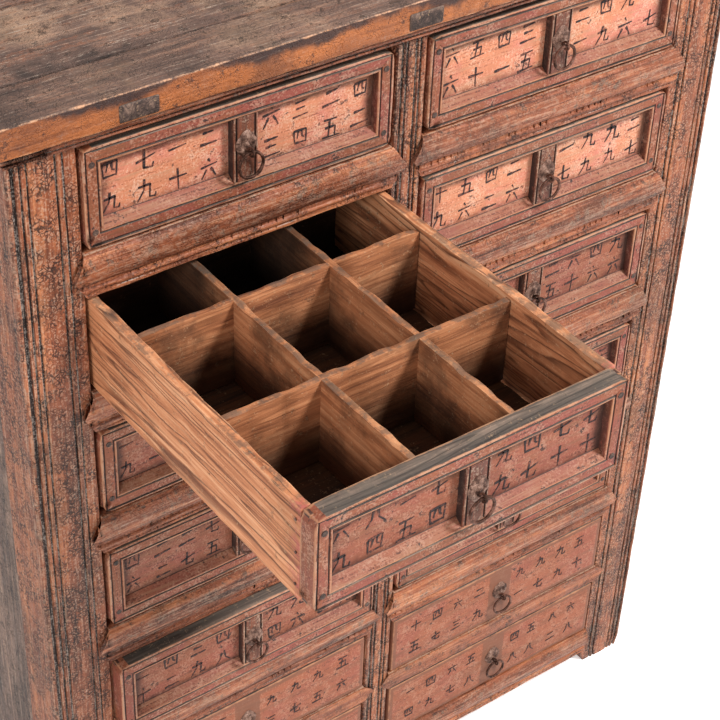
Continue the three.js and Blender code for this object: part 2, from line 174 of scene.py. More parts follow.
class Finish:
    """One material, and short names for the nodes it is made of."""

    def __init__(self, name):
        self.material = bpy.data.materials.new(name)
        self.material.use_nodes = True
        self.tree = self.material.node_tree
        self.tree.nodes.clear()
        self.color = None
        self.shader = self.node("ShaderNodeBsdfPrincipled")
        self.node("ShaderNodeOutputMaterial", {}, {"Surface": self.shader.outputs[0]})

    def node(self, kind, settings=None, inputs=None):
        made = self.tree.nodes.new(kind)
        for key, value in (settings or {}).items():
            if key == "stops":
                set_stops(made.color_ramp, value)
            else:
                setattr(made, key, value)
        for key, value in (inputs or {}).items():
            plug(self.tree, made.inputs[key], value)
        return made

    def signal(self, node, output=0):
        return Signal(self.tree, node.outputs[output])

    def number(self, attribute):
        return self.signal(self.node("ShaderNodeAttribute", {"attribute_name": attribute}), "Fac")

    def vector(self, attribute):
        return self.node("ShaderNodeAttribute", {"attribute_name": attribute}).outputs["Vector"]

    def vector_math(self, operation, first, second=None):
        inputs = {0: first} if second is None else {0: first, 1: second}
        return self.node("ShaderNodeVectorMath", {"operation": operation}, inputs).outputs[0]

    def parts(self, vector):
        split = self.node("ShaderNodeSeparateXYZ", {}, {0: vector})
        return [self.signal(split, axis) for axis in range(3)]

    def place(self, stretch=(1, 1, 1)):
        """Object coordinates, moved by each piece's own seed so that no two boards match."""
        coords = self.node("ShaderNodeTexCoord").outputs["Object"]
        moved = self.vector_math("ADD", coords, self.vector("seed"))
        return self.vector_math("MULTIPLY", moved, stretch)

    def noise(self, coords, scale, detail=4.0, roughness=0.6, distortion=0.0):
        inputs = {
            "Vector": coords,
            "Scale": scale,
            "Detail": detail,
            "Roughness": roughness,
            "Distortion": distortion,
        }
        return self.signal(self.node("ShaderNodeTexNoise", {}, inputs), "Fac")

    def cracks(self, coords, scale):
        """The distance to the nearest crack of an alligatored skin."""
        wobble = self.node("ShaderNodeTexNoise", {}, {"Vector": coords, "Scale": 90.0, "Detail": 3.0})
        shift = self.vector_math("MULTIPLY", wobble.outputs["Color"], (CRACK_WOBBLE,) * 3)
        inputs = {"Vector": self.vector_math("ADD", coords, shift), "Scale": scale}
        cells = self.node("ShaderNodeTexVoronoi", {"feature": "DISTANCE_TO_EDGE"}, inputs)
        return self.signal(cells, "Distance")

    def rise(self, value, low, high, bottom=0.0, top=1.0):
        inputs = {"Value": value, "From Min": low, "From Max": high, "To Min": bottom, "To Max": top}
        settings = {"interpolation_type": "SMOOTHSTEP"}
        return self.signal(self.node("ShaderNodeMapRange", settings, inputs))

    def mix(self, factor, first, second):
        """Two colours; a Mix node keeps its colour sockets at places 6 and 7, and its result at 2."""
        made = self.node("ShaderNodeMix", {"data_type": "RGBA", "clamp_factor": True})
        for entry, value in ((0, factor), (6, first), (7, second)):
            plug(self.tree, made.inputs[entry], value)
        return made.outputs[2]

    def coat(self, mask, color):
        """Lays a colour over what is there already, where the mask says."""
        self.color = self.mix(mask, self.color, paint(color) if isinstance(color, str) else color)

    def local(self, axis):
        """Millimetres from the middle of a board along one axis."""
        return self.parts(self.vector("local"))[axis] * (1 / MM)

    def edge_distance(self):
        """Millimetres to the nearest edge of a board, from its own middle and half size."""
        inside = self.vector_math("ABSOLUTE", self.vector("local"))
        a, b, c = self.parts(self.vector_math("SUBTRACT", self.vector("half"), inside))
        return a.lower(b).higher(a.higher(b).lower(c)) * (1 / MM)

    def upward(self):
        normal = self.node("ShaderNodeNewGeometry").outputs["Normal"]
        return self.parts(normal)[2]

    def finish(self, color, roughness, height=None, strength=0.4, distance=0.6 * MM, **constants):
        """Wires the shader; a keyword such as Emission_Strength sets that socket to a constant."""
        constants.setdefault("Specular_IOR_Level", SHINE)
        inputs = {"Base Color": color, "Roughness": roughness}
        if height is not None:
            relief = {"Strength": strength, "Distance": distance, "Height": height}
            inputs["Normal"] = self.node("ShaderNodeBump", {}, relief).outputs[0]
        for key, value in inputs.items():
            plug(self.tree, self.shader.inputs[key], value)
        for key, value in constants.items():
            self.shader.inputs[key.replace("_", " ")].default_value = value
        return self.material


def set_stops(ramp, stops):
    while len(ramp.elements) > len(stops):
        ramp.elements.remove(ramp.elements[-1])
    while len(ramp.elements) < len(stops):
        ramp.elements.new(1.0)
    for element, (position, color) in zip(ramp.elements, stops):
        element.position = position
        element.color = color


def paint(code):
    """A web colour as linear red, green, blue and alpha."""
    channels = [int(code[i:i + 2], 16) / 255 for i in (1, 3, 5)]
    linear = [c / 12.92 if c <= 0.04045 else ((c + 0.055) / 1.055) ** 2.4 for c in channels]
    return (*linear, 1.0)


print("shader helpers ready")

# %% [markdown]
# ## Old wood
# Every wooden finish shares one recipe: long fibres, broad growth bands, patches where hands and damp
# have been, dust on what faces up, dirt in grooves and rubbed arrises. The grain runs along a board,
# so the coordinates are squeezed along it before the noise reads them. Each coat below is a colour
# and a mask, and the two numbers of a `rise` say at which noise the mask starts and where it is full.

# %% Grain and wear
FIBRE_SQUEEZE, GROWTH_SQUEEZE, KNOT_SQUEEZE = 0.05, 0.07, 0.35
CRACK_CELLS, KNOT_CELLS = 230.0, 9.0
PAINT_BANDS, PAINT_FIBRES = 34.0, 520.0
BOARD_FIBRES = 380.0
GROWTH_LINES = 16.0
GRIME, GROOVE_DARK, ASH = "#1d1614", "#211817", "#a39a92"


def squeeze(axis, amount):
    """Factors that draw a pattern out along one axis."""
    return tuple(amount if letter == axis else 1 for letter in "xyz")


class Wear:
    """The noises that every worn surface shares, each between nought and one, around a half."""

    def __init__(self, finish, axis, bands=38.0, fibres=420.0):
        self.finish = finish
        along = finish.place(squeeze(axis, FIBRE_SQUEEZE))
        self.even = finish.place()
        self.wide = finish.noise(along, bands, 3.0, 0.55, 1.2)
        self.streak = finish.noise(along, bands * 3.3, 4.0, 0.65, 0.8)
        self.fine = finish.noise(along, fibres, 5.0, 0.7, 0.3)
        self.patch = finish.noise(self.even, 13.0, 5.0, 0.65)
        self.blotch = finish.noise(self.even, 55.0, 6.0, 0.7)
        self.flake = finish.noise(self.even, 130.0, 6.0, 0.78)
        self.speck = finish.noise(self.even, 460.0, 3.0, 0.7)

    def flecks(self, share):
        """Crisp little islands; a larger share covers more of the surface."""
        return self.finish.rise(self.flake + self.blotch * 0.5, 0.86 - share, 0.92 - share)

    def ragged(self, distance, amount):
        """A distance in millimetres made uneven, so that a border wanders by the amount."""
        return distance + self.blotch * amount - amount / 2


def wood_color(finish, value, dark, middle, light, spread=0.11):
    stops = [(0.5 - spread, paint(dark)), (0.5, paint(middle)), (0.5 + spread, paint(light))]
    return finish.node("ShaderNodeValToRGB", {"stops": stops}, {0: value}).outputs[0]


# %% Lacquered wood
def lacquered_wood(
    name, axis, colors, worn, dirt, crackle=0.4, crest_wear_and_highlight=0.6, stain=0.05, mottle=0.15,
    scuffs=0.3, brow=0.0, arris=0.8, clouds=0.0,
):
    """Dark lacquer gone brown: scuffs are pale scratches, brow a dark upper edge, clouds patches."""
    finish = Finish(name)
    wear = Wear(finish, axis)
    fibres = wear.wide * 0.35 + wear.streak * 0.35 + wear.fine * 0.3
    broad = finish.noise(wear.even, 6.0, 4.0, 0.6)
    mottled = broad * 0.45 + wear.patch * 0.2 + wear.blotch * 0.15 + wear.flake * 0.2
    finish.color = wood_color(finish, fibres * (1 - mottle) + mottled * mottle, *colors)
    if clouds:
        drift = broad * 0.6 + wear.patch * 0.4
        pale = finish.rise(drift, 0.5, 0.62) * finish.rise(wear.flake, 0.3, 0.55)
        finish.coat(pale * clouds, "#ba9478")
        dark = finish.rise(drift, 0.48, 0.38) * finish.rise(wear.streak, 0.35, 0.6)
        finish.coat(dark * clouds, "#292321")
        rust = finish.rise(wear.streak * 0.5 + wear.flake * 0.5, 0.5, 0.6)
        finish.coat(finish.rise(broad, 0.42, 0.52) * rust * clouds * 0.6, "#8d5234")
    finish.coat(finish.rise(wear.patch, 0.5, 0.64) * 0.45, dirt)
    finish.coat(wear.flecks(stain) * 0.75, dirt)
    cell = finish.cracks(wear.even, CRACK_CELLS)
    crack = finish.rise(cell, 0.16, 0.03) * finish.rise(wear.blotch, 0.42, 0.58)
    finish.coat(crack * crackle, GRIME)
    rim = finish.rise(cell, 0.12, 0.22) * finish.rise(cell, 0.45, 0.3)
    finish.coat(rim * finish.rise(wear.speck, 0.42, 0.55) * crackle * 0.6, worn)
    relief = wear.ragged(finish.number("relief"), 2.0)
    # Pale on the crests of the mouldings: rubbed wear, together with a painted highlight where a sheen
    # catches.
    rubbed = finish.rise(wear.flake * 0.5 + wear.fine * 0.5, 0.48, 0.56)
    finish.coat(finish.rise(relief, 3.0, 7.0) * rubbed * crest_wear_and_highlight, worn)
    ash = finish.rise(wear.speck * 0.5 + wear.fine * 0.5, 0.5, 0.56)
    groove_dirt = finish.mix(ash * 0.8, paint(GRIME), paint(ASH))
    finish.coat(finish.rise(relief, 0.1, -1.6) * 0.93, groove_dirt)
    if brow:
        z = finish.local(2) + wear.patch * 36.0 + broad * 60.0 - 48.0
        finish.coat(finish.rise(z, 3.0, 12.0) * brow, "#2a2020")
    edge = finish.rise(wear.ragged(finish.edge_distance(), 7.0), 2.2, 0.4)
    finish.coat(edge * finish.rise(wear.speck, 0.35, 0.5) * arris, worn)
    scratch = finish.rise(wear.fine * 0.7 + wear.speck * 0.3, 0.56, 0.62)
    finish.coat(scratch * scuffs, "#b9a593")
    height = wear.fine * 0.6 + wear.speck * 0.35 - crack * 0.7 + wear.flake * 0.5 + wear.streak * 0.5
    return finish.finish(finish.color, 0.34 + wear.flake * 0.4, height, 0.75, 1.0 * MM)


# %% Painted fronts
def painted_front(name, axis, colors, bare, scuff, dark_share=0.5, recess_shade=0.0, fields=False):
    """Thin coral paint on wood, rubbed through; fields leaves the edges and the middle bare, and a sunk
    field can get painted shade next to its frame.
    """
    finish = Finish(name)
    wear = Wear(finish, axis, PAINT_BANDS, PAINT_FIBRES)
    main, pink = colors
    finish.color = finish.mix(finish.rise(wear.patch, 0.42, 0.62) * 0.8, paint(main), paint(pink))
    finish.coat(finish.rise(wear.streak * 0.5 + wear.fine * 0.5, 0.47, 0.6) * 0.7, bare)
    finish.coat(finish.rise(wear.speck * 0.55 + wear.blotch * 0.45, 0.5, 0.6) * 0.55, scuff)
    line = finish.rise(wear.fine * 0.6 + wear.speck * 0.4, 0.47, 0.38)
    finish.coat(line * dark_share, "#4a2a20")
    finish.coat(wear.flecks(0.0) * dark_share * 1.4, "#3b2824")
    relief = wear.ragged(finish.number("relief"), 2.0)
    # Darker in the scribed lines and on the walls of the sunk fields and of the block.
    groove = finish.rise(relief, 0.1, -1.6) * finish.rise(wear.flake + wear.fine * 0.4, 0.5, 0.66)
    finish.coat(groove * 0.93, GROOVE_DARK)
    # Pale on the raised beads: rubbed paint, together with a painted highlight.
    crest = finish.rise(relief, 2.4, 4.0) * finish.rise(wear.flake * 0.5 + wear.fine * 0.5, 0.46, 0.54)
    finish.coat(crest * 0.55, "#c09a80")
    edge_distance = finish.edge_distance()
    if fields:
        across = finish.parts(finish.vector_math("ABSOLUTE", finish.vector("local")))[0] * (1 / MM)
        inside = finish.rise(wear.ragged(across, 4.0), 16.0, 18.0)
        inside = inside * finish.rise(wear.ragged(edge_distance, 3.0), 5.0, 7.0)
        finish.coat((1 - inside) * 0.75, "#6e4633")
    # Painted shade: a sunk field darkens next to its frame, where the walls of the recess shade it.
    if recess_shade:
        finish.coat(finish.rise(wear.ragged(edge_distance, 16.0), 31.0, 17.0) * recess_shade, "#3a2621")
    finish.coat(finish.rise(wear.ragged(edge_distance, 7.0), 2.4, 0.3) * 0.75, "#b27d5c")
    height = wear.fine * 0.5 + wear.speck * 0.35 + wear.flake * 0.5
    return finish.finish(finish.color, 0.5 + wear.flake * 0.25, height, 0.7, 0.9 * MM)


# %% Bare wood
def bare_wood(
    name, axis, colors, line="#5f371f", dirt="#3a261a", shade=0.5, bands=26.0, dust=0.3,
    front_paint=0.0, bottom_shade=0.75, growth_share=0.75, arris=None, dark_back=0.0,
):
    """Unpainted softwood: dark growth lines, a few knots, dirt along the upper edges, and painted shade
    towards the bottom and the back.
    """
    finish = Finish(name)
    wear = Wear(finish, axis, bands, BOARD_FIBRES)
    knot_field = {"Vector": finish.place(squeeze(axis, KNOT_SQUEEZE)), "Scale": KNOT_CELLS}
    distance = finish.signal(finish.node("ShaderNodeTexVoronoi", {}, knot_field), "Distance")
    knot = finish.rise(distance, 0.11, 0.04)
    finish.color = wood_color(finish, wear.wide * 0.4 + wear.streak * 0.3 + wear.fine * 0.3, *colors)
    rings = finish.noise(finish.place(squeeze(axis, GROWTH_SQUEEZE)), bands * 0.5, 2.0, 0.5, 0.6)
    phase = (rings + knot * 0.05) * GROWTH_LINES
    phase = phase.math("FRACT", phase)
    growth = finish.rise(phase, 0.5, 0.9) * finish.rise(phase, 1.0, 0.9)
    finish.coat(growth * finish.rise(wear.fine, 0.3, 0.55) * growth_share, line)
    finish.coat(knot * 0.8, line)
    finish.coat(finish.rise(wear.patch, 0.48, 0.66) * shade, dirt)
    finish.coat(wear.flecks(0.0) * 0.6, dirt)
    finish.coat(finish.rise(wear.flake * 0.6 + wear.speck * 0.4, 0.56, 0.62) * 0.35, "#dcb48c")
    edge = finish.rise(wear.ragged(finish.edge_distance(), 5.0), 1.8, 0.2)
    finish.coat(edge * 0.6, arris or colors[2])
    y, z = finish.local(1), finish.local(2)
    # Painted shade: the board darkens towards its bottom, as the compartments of a drawer do in shade.
    finish.coat(finish.rise(wear.ragged(z, 30.0), 26.0, -34.0) * bottom_shade, "#1d110a")
    # Painted shade: towards the back and low down the board darkens further, where the back row lies in the
    # cabinet's shade.
    if dark_back:
        inner = finish.rise(wear.ragged(y, 50.0), 45.0, 125.0) * finish.rise(z, 56.0, 40.0)
        finish.coat(inner * dark_back, "#120a06")
    settled = finish.rise(wear.blotch + wear.fine * 0.3, 0.58, 0.72)
    finish.coat(finish.rise(finish.upward(), 0.6, 0.95) * settled * dust * 2.0, "#4b443c")
    if front_paint:
        reach = finish.rise(wear.ragged(y, 60.0), -185.0, -202.0)
        finish.coat(reach * finish.rise(wear.flake, 0.42, 0.55) * front_paint, "#a24a4a")
    height = wear.fine * 0.7 - growth * 0.25 + wear.blotch * 0.2 + wear.streak * 0.3
    return finish.finish(finish.color, 0.6 + wear.blotch * 0.2, height, 0.7, 0.9 * MM)


# %% Iron and ink
IRON_LEVELS = (0.36, 0.47, 0.57, 0.66)


def rusty_iron(name, colors):
    """Forged iron under brown rust; colors run from the pits to the rubbed high spots."""
    finish = Finish(name)
    even = finish.place()
    patch = finish.noise(even, 120.0, 5.0, 0.7)
    speck = finish.noise(even, 900.0, 4.0, 0.7)
    stops = list(zip(IRON_LEVELS, (paint(code) for code in colors)))
    mixed = patch * 0.6 + speck * 0.4
    color = finish.node("ShaderNodeValToRGB", {"stops": stops}, {0: mixed}).outputs[0]
    plug(finish.tree, finish.shader.inputs["Metallic"], finish.rise(patch, 0.62, 0.4) * 0.75)
    return finish.finish(color, 0.42 + speck * 0.35, patch * 0.5 + speck * 0.5, 0.6, 0.4 * MM)


def ink(name):
    """Brushed ink that has soaked into the paint and rubbed thin in places."""
    finish = Finish(name)
    blotch = finish.noise(finish.place(), 260.0, 5.0, 0.75)
    color = finish.mix(finish.rise(blotch, 0.48, 0.66) * 0.75, paint("#2a2223"), paint("#8d5443"))
    return finish.finish(color, 0.7 + blotch * 0.1, blotch, 0.3)


# %% The finishes of the cabinet
RED_BROWN = ("#3a1d12", "#8a4b2f", "#bd774c")
DARK_BROWN = ("#2b2422", "#6b5247", "#ad8a74")
EDGE_BROWN = ("#5a2f1c", "#98572f", "#c1713a")
PALE_WOOD = ("#8b4f31", "#c38057", "#dea77e")
INNER_WOOD = ("#6b3e27", "#a66a45", "#c68c63")
TOP_DIRT = "#352b25"
LACQUER = {
    axis: lacquered_wood(
        f"lacquer_{axis}", axis, RED_BROWN, "#b3917a", "#2d1b15", 0.3, 0.35, scuffs=0.22,
    )
    for axis in "xy"
}
LACQUER["z"] = lacquered_wood(
    "lacquer_z", "z", RED_BROWN, "#b08f78", "#2a1a15", 0.85, 0.6, 0.02, scuffs=0.35,
)
TOP_WOOD = {
    axis: lacquered_wood(
        f"top_wood_{axis}", axis, DARK_BROWN, "#cf9a74", TOP_DIRT, 0.1, mottle=0.5, clouds=0.45,
    )
    for axis in "xy"
}
TOP_PLANK = lacquered_wood(
    "top_plank", "x", DARK_BROWN, "#231b17", TOP_DIRT, 0.1, mottle=0.6, scuffs=0.6, clouds=0.85,
)
FASCIA_WOOD = {
    axis: lacquered_wood(
        f"fascia_{axis}", axis, EDGE_BROWN, "#cf9468", "#3a2420", 0.1,
        stain=0.03, mottle=0.5, scuffs=0.1, brow=0.9,
    )
    for axis in "xy"
}
SIDE_PANEL_WOOD = lacquered_wood("side_panel_wood", "z", DARK_BROWN, "#a08c78", "#2c211d")
FRAME_PAINT = {
    axis: painted_front(
        f"frame_paint_{axis}", axis, ("#864a30", "#884239"), "#68432f", "#b08a74", 1.0,
    )
    for axis in "xz"
}
LEDGE_PAINT = painted_front("ledge_paint", "x", ("#8a5039", "#84493b"), "#946a50", "#a9826c", 0.95)
BLOCK_PAINT = painted_front("block_paint", "z", ("#74402a", "#66382c"), "#453027", "#a8937f", 1.0)
FLAT_PAINT = painted_front(
    "flat_front_paint", "x", ("#945338", "#8e4b39"), "#744933", "#a67b64", 0.8, fields=True,
)
PANEL_PAINT = painted_front(
    "panel_paint", "x", ("#c47c5b", "#c27464"), "#b08062", "#d6b098", 0.6, 0.75,
)
# Darker, more worn paint for the lower fronts; on the front under the open drawer it is painted shadow as
# well.
WORN_AND_SHADOWED_PANEL = painted_front(
    "worn_panel_paint", "x", ("#8f5139", "#8c4b3d"), "#7a5039", "#a97f69", 0.9, 0.9,
)
BARE = {axis: bare_wood(f"bare_wood_{axis}", axis, INNER_WOOD) for axis in "xyz"}
# Painted shade on the dividers: darker towards the bottom, and the long ones darker towards the back too.
DIVIDER_WOOD = {
    axis: bare_wood(
        f"divider_wood_{axis}", axis, INNER_WOOD, shade=0.6, bands=34.0, growth_share=0.3,
        bottom_shade=0.85, dark_back=0.0 if axis == "x" else 0.85,
    )
    for axis in "xy"
}
# Painted shade: the drawer floor has far darker wood than the rest of the box, darker still towards the
# back.
SHADED_FLOOR_WOOD = bare_wood(
    "drawer_floor_wood", "x", ("#26170e", "#4b301c", "#74492b"), dust=0.0, shade=0.7, dark_back=0.9,
)
# Painted shade: the drawer's back board is given near black wood, darkest towards its bottom.
SHADED_BACK = bare_wood("drawer_back_wood", "x", ("#1c110b", "#38241a", "#5a3c29"), dust=0.0, bottom_shade=0.95)
END_GRAIN = bare_wood(
    "end_grain", "y", ("#2a201c", "#54413a", "#83695a"), "#1b1412", "#211a18", bands=90.0,
)
SIDE_WOOD = bare_wood(
    "drawer_side_wood", "y", PALE_WOOD, "#5f3520",
    shade=0.25, bands=46.0, front_paint=0.7, bottom_shade=0.0, growth_share=0.95,
)
FRONT_BACK = bare_wood(
    "front_top_wood", "x", ("#2c2724", "#61544b", "#9a8271"), "#231e1b", "#2c2623",
    shade=0.4, dust=0.2, arris="#c88f66",
)
IRON = rusty_iron("rusty_iron", ("#2a201d", "#5c4238", "#8b6a5a", "#b7a294"))
RING_IRON = rusty_iron("ring_iron", ("#1f1715", "#40291f", "#6a4334", "#94705f"))
INK = ink("brushed_ink")
print("materials:", len(bpy.data.materials))

# %% [markdown]
# ## Turning a bmesh into a piece
# A finished piece lies at the origin with its place in its mesh. Four attributes travel with it to
# the shaders: `local` and `half` give the distance to a board's edges, `seed` moves the grain, and
# `relief` says how far a moulding's point stands forward, in millimetres.

# %% Pieces and attributes
FAR = Vector((1.0, 1.0, 1.0))
SEED_SPREAD = 40.0
SMOOTH_ANGLE = math.radians(40)
WORN_BACK = 0.75


def prepare(bm):
    """Adds the relief layer, which extrusions and cuts then carry along."""
    return bm.verts.layers.float.get("relief") or bm.verts.layers.float.new("relief")


def write_vectors(bm, name, value_of):
    layer = bm.verts.layers.float_vector.new(name)
    for vert in bm.verts:
        vert[layer] = value_of(vert)


def mark(bm, name, box=None):
    """Writes the four attributes; box is the board's low and high corner."""
    prepare(bm)
    middle, half = (Vector(), FAR) if box is None else ((box[0] + box[1]) / 2, (box[1] - box[0]) / 2)
    dice = random.Random(name)
    seed = Vector([dice.uniform(-SEED_SPREAD, SEED_SPREAD) for _ in range(3)])
    write_vectors(bm, "local", lambda vert: vert.co - middle if box else Vector())
    write_vectors(bm, "half", lambda vert: half)
    write_vectors(bm, "seed", lambda vert: seed)
    return bm


def merge(parts):
    """Several marked meshes as one, for boards that are glued into a single piece."""
    whole = bmesh.new()
    for part in parts:
        carrier = bpy.data.meshes.new("carrier")
        part.to_mesh(carrier)
        part.free()
        whole.from_mesh(carrier)
        bpy.data.meshes.remove(carrier)
    return whole


def make_piece(bm, name, body, material, nodes=(), box=None):
    if "half" not in bm.verts.layers.float_vector:
        mark(bm, name, box)
    bmesh.ops.recalc_face_normals(bm, faces=bm.faces)
    mesh = bpy.data.meshes.new(name)
    bm.to_mesh(mesh)
    bm.free()
    mesh.shade_smooth()
    mesh.set_sharp_from_angle(angle=SMOOTH_ANGLE)
    mesh.materials.append(material)
    piece = bpy.data.objects.new(name, mesh)
    bpy.context.scene.collection.objects.link(piece)
    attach(piece, body)
    if nodes:
        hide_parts(*nodes)
    return piece


def roughen(bm, amount, size=0.02, seed=0.0):
    """Wears the surface back unevenly, so that no arris stays ruler straight."""
    bmesh.ops.recalc_face_normals(bm, faces=bm.faces)
    bm.normal_update()
    shift = Vector((seed, seed * 1.7, seed * 0.3))
    for vert in bm.verts:
        vert.co += vert.normal * amount * (noise.noise(vert.co / size + shift) - WORN_BACK)


# %% [markdown]
# ## Boards
# Most of the cabinet is planed boards. Each starts as a cube, is scaled to its box, gets its arrises
# rounded by a bevel, is cut along its length and then roughened, which nicks the edges as use does.

# %% Boards
CHIP_SIZE = 22 * MM
CHIP_SHARE = 0.1


def chip_top(bm, top, depth):
    """Bites uneven hollows out of the upper edge of a thin board."""
    for vert in bm.verts:
        if vert.co.z > top - 2 * MM:
            vert.co.z -= depth * max(0.0, noise.noise(vert.co / CHIP_SIZE) + CHIP_SHARE)


def board_mesh(low, high, bevel=0.9 * MM, cuts=0, rough=0.25 * MM, segments=2, chips=0.0):
    bm = bmesh.new()
    size = high - low
    place = Matrix.Translation((low + high) / 2) @ Matrix.Diagonal((*size, 1.0))
    bmesh.ops.create_cube(bm, size=1.0, matrix=place)
    bmesh.ops.bevel(
        bm, geom=bm.edges[:], offset=bevel, segments=segments, profile=0.5, affect="EDGES",
        clamp_overlap=True, material=-1,
    )
    if cuts:
        longest = max(range(3), key=lambda axis: size[axis])
        reach = size[longest] / 2
        runs = [e for e in bm.edges if abs(e.verts[0].co[longest] - e.verts[1].co[longest]) > reach]
        bmesh.ops.subdivide_edges(bm, edges=runs, cuts=cuts, use_grid_fill=True)
    if chips:
        chip_top(bm, high.z, chips)
    if rough:
        roughen(bm, rough, seed=(low.x + high.z) * 50)
    return bm


def add_board(name, low, high, body, material, slot, nodes=(), **shape):
    low, high = Vector(low), Vector(high)
    bm = board_mesh(low, high, **shape)
    return make_piece(bm, name, body, material, nodes, box=(low, high))


def frame_piece(bm, name, axis, node):
    """A lacquered moulding of the cabinet's frame, with its grain along one axis."""
    make_piece(bm, name, "cabinet", LACQUER[axis], [node])


def frame_board(name, low, high, axis, node, **shape):
    add_board(name, low, high, "cabinet", LACQUER[axis], "frame_wood", [node], **shape)


def raw_board(name, low, high, axis, node, **shape):
    """A bare board that is hidden inside the cabinet."""
    add_board(name, low, high, "cabinet", BARE[axis], "raw_wood", [node], **shape)


# %% [markdown]
# ## Mouldings
# A moulding is one outline pushed along a line. The outline becomes a single face, and each step
# extrudes that face a little further, which leaves enough vertices to wear the crests unevenly.
# Pointed and mitred ends are cut off with planes and closed again.

# %% Mouldings
def sweep_mesh(section, step, count):
    """section is a list of (place, relief), and step the vector of one extrusion."""
    bm = bmesh.new()
    relief = prepare(bm)
    ring = []
    for place, height in section:
        vert = bm.verts.new(place)
        vert[relief] = height
        ring.append(vert)
    face = bm.faces.new(ring)
    for _ in range(count):
        made = bmesh.ops.extrude_face_region(bm, geom=[face])["geom"]
        moved = [item for item in made if isinstance(item, bmesh.types.BMVert)]
        bmesh.ops.translate(bm, vec=step, verts=moved)
        face = next(item for item in made if isinstance(item, bmesh.types.BMFace))
    return bm


def cut_off(bm, point, normal):
    """Removes what lies on the normal's side of a plane, and closes the cut."""
    made = bmesh.ops.bisect_plane(
        bm, geom=bm.verts[:] + bm.edges[:] + bm.faces[:], plane_co=point, plane_no=normal,
        clear_outer=True,
    )
    rim = [item for item in made["geom_cut"] if isinstance(item, bmesh.types.BMEdge)]
    if rim:
        bmesh.ops.edgeloop_fill(bm, edges=rim)


def arc(middle, radius, start, end, steps):
    """Points on an arc, angles in degrees, in the section's own two directions."""
    angles = [math.radians(start + (end - start) * i / steps) for i in range(steps + 1)]
    return [(middle[0] + radius[0] * math.cos(a), middle[1] + radius[1] * math.sin(a)) for a in angles]


# %% [markdown]
# ## The front posts and the centre stile
# The posts are worked with vertical mouldings: a rounded outer edge, a double bead, a flat crackled
# field, one more bead and a plain strip beside the drawers. The outline below walks across the face
# and gives each point its relief: positive on the beads, negative in the scribed grooves.

# %% Posts and stile
FOOT_WEAR = 22 * MM
FOOT_TAPER = 0.13
UPRIGHT_STEPS = 60


def post_section(side):
    """(across, depth, relief) in millimetres, from the outer edge to the opening."""
    outer = [(4 - u, 4 - v, 5.5) for u, v in arc((0, 0), (4, 4), 0, 90, 4)]
    face = [
        (5.0, 0.4, 6.0), (5.8, 3.2, -4.0), (8.8, 3.4, -4.0), (9.6, 0.6, 7.0), (11.4, 0.0, 3.0),
        (13.0, 0.5, 7.0), (13.7, 2.6, -4.0), (14.8, 2.6, -4.0), (15.4, 0.7, 7.0), (17.4, 0.0, 2.5),
        (19.4, 0.7, 7.0), (20.1, 2.4, -3.5), (21.0, 2.4, -3.5), (21.8, 0.5, 6.5), (23.4, 0.3, 1.4),
        (34.5, 0.0, 1.2), (44.6, 0.3, 1.4), (46.2, 0.5, 4.5), (46.8, 2.8, -4.0), (47.9, 2.8, -4.0),
        (48.6, 0.7, 6.0), (51.0, 0.0, 3.5), (53.2, 0.7, 6.0), (53.8, 2.8, -4.0), (54.8, 2.8, -4.0),
        (55.6, 1.7, 3.5), (60.0, 1.6, 1.2), (66.5, 1.8, 4.0),
    ]
    width, depth = POST_WIDTH / MM, (post_high.y - post_low.y) / MM
    rest = [(width, 3.0, 1.5), (width, depth, 0.0), (0.0, depth, 0.0)]
    sign = 1 if side == "left" else -1
    return [
        (Vector((sign * (u * MM - HALF_WIDTH), FRONT_Y + v * MM, 0.0)), relief)
        for u, v, relief in outer + face + rest
    ]


def wear_foot(bm):
    """Rounds the lowest centimetres of a post, where mops and damp have eaten the corners."""
    middle = sum((vert.co / len(bm.verts) for vert in bm.verts), Vector())
    for vert in bm.verts:
        share = max(0.0, 1 - vert.co.z / FOOT_WEAR) ** 2
        vert.co.x += (middle.x - vert.co.x) * FOOT_TAPER * share
        vert.co.y += (middle.y - vert.co.y) * FOOT_TAPER * share


def add_posts():
    for side in ("left", "right"):
        step = Vector((0, 0, BODY_TOP / UPRIGHT_STEPS))
        bm = sweep_mesh(post_section(side), step, UPRIGHT_STEPS)
        roughen(bm, 0.7 * MM, size=0.03, seed=3.0)
        wear_foot(bm)
        node = f"post_front_{side}"
        frame_piece(bm, f"{node}_moulded", "z", node)
        back = f"post_back_{side}"
        shape = {"bevel": 3 * MM, "cuts": 30, "rough": 0.8 * MM}
        frame_board(f"{back}_board", *node_box(back), "z", back, **shape)


def mirrored(half):
    """An outline from its left half, whose last point lies on the middle."""
    return half + [(-u, v, relief) for u, v, relief in reversed(half[:-1])]


def stile_section():
    half = STILE_HALF / MM
    left = [
        (0.0, 20.0, 0.0), (0.0, 2.4, 1.5), (1.4, 0.5, 4.0), (4.0, 0.0, 6.0), (6.2, 0.8, 3.0),
        (6.8, 2.8, -4.0), (8.2, 2.8, -4.0), (8.8, 0.8, 3.0), (11.0, 0.3, 4.5), (12.0, 2.4, -3.5),
        (13.2, 2.4, -3.5), (13.9, 0.9, 2.0), (half, 0.7, 1.4),
    ]
    return [
        (Vector((u * MM, FRONT_Y + v * MM, stile_low.z)), relief)
        for u, v, relief in mirrored([(u - half, v, relief) for u, v, relief in left])
    ]


def add_stile():
    step = Vector((0, 0, (stile_high.z - stile_low.z) / UPRIGHT_STEPS))
    bm = sweep_mesh(stile_section(), step, UPRIGHT_STEPS)
    roughen(bm, 0.6 * MM, size=0.03, seed=8.0)
    frame_piece(bm, "centre_stile_moulded", "z", "centre_stile")


add_posts()
add_stile()
print("posts and stile done")

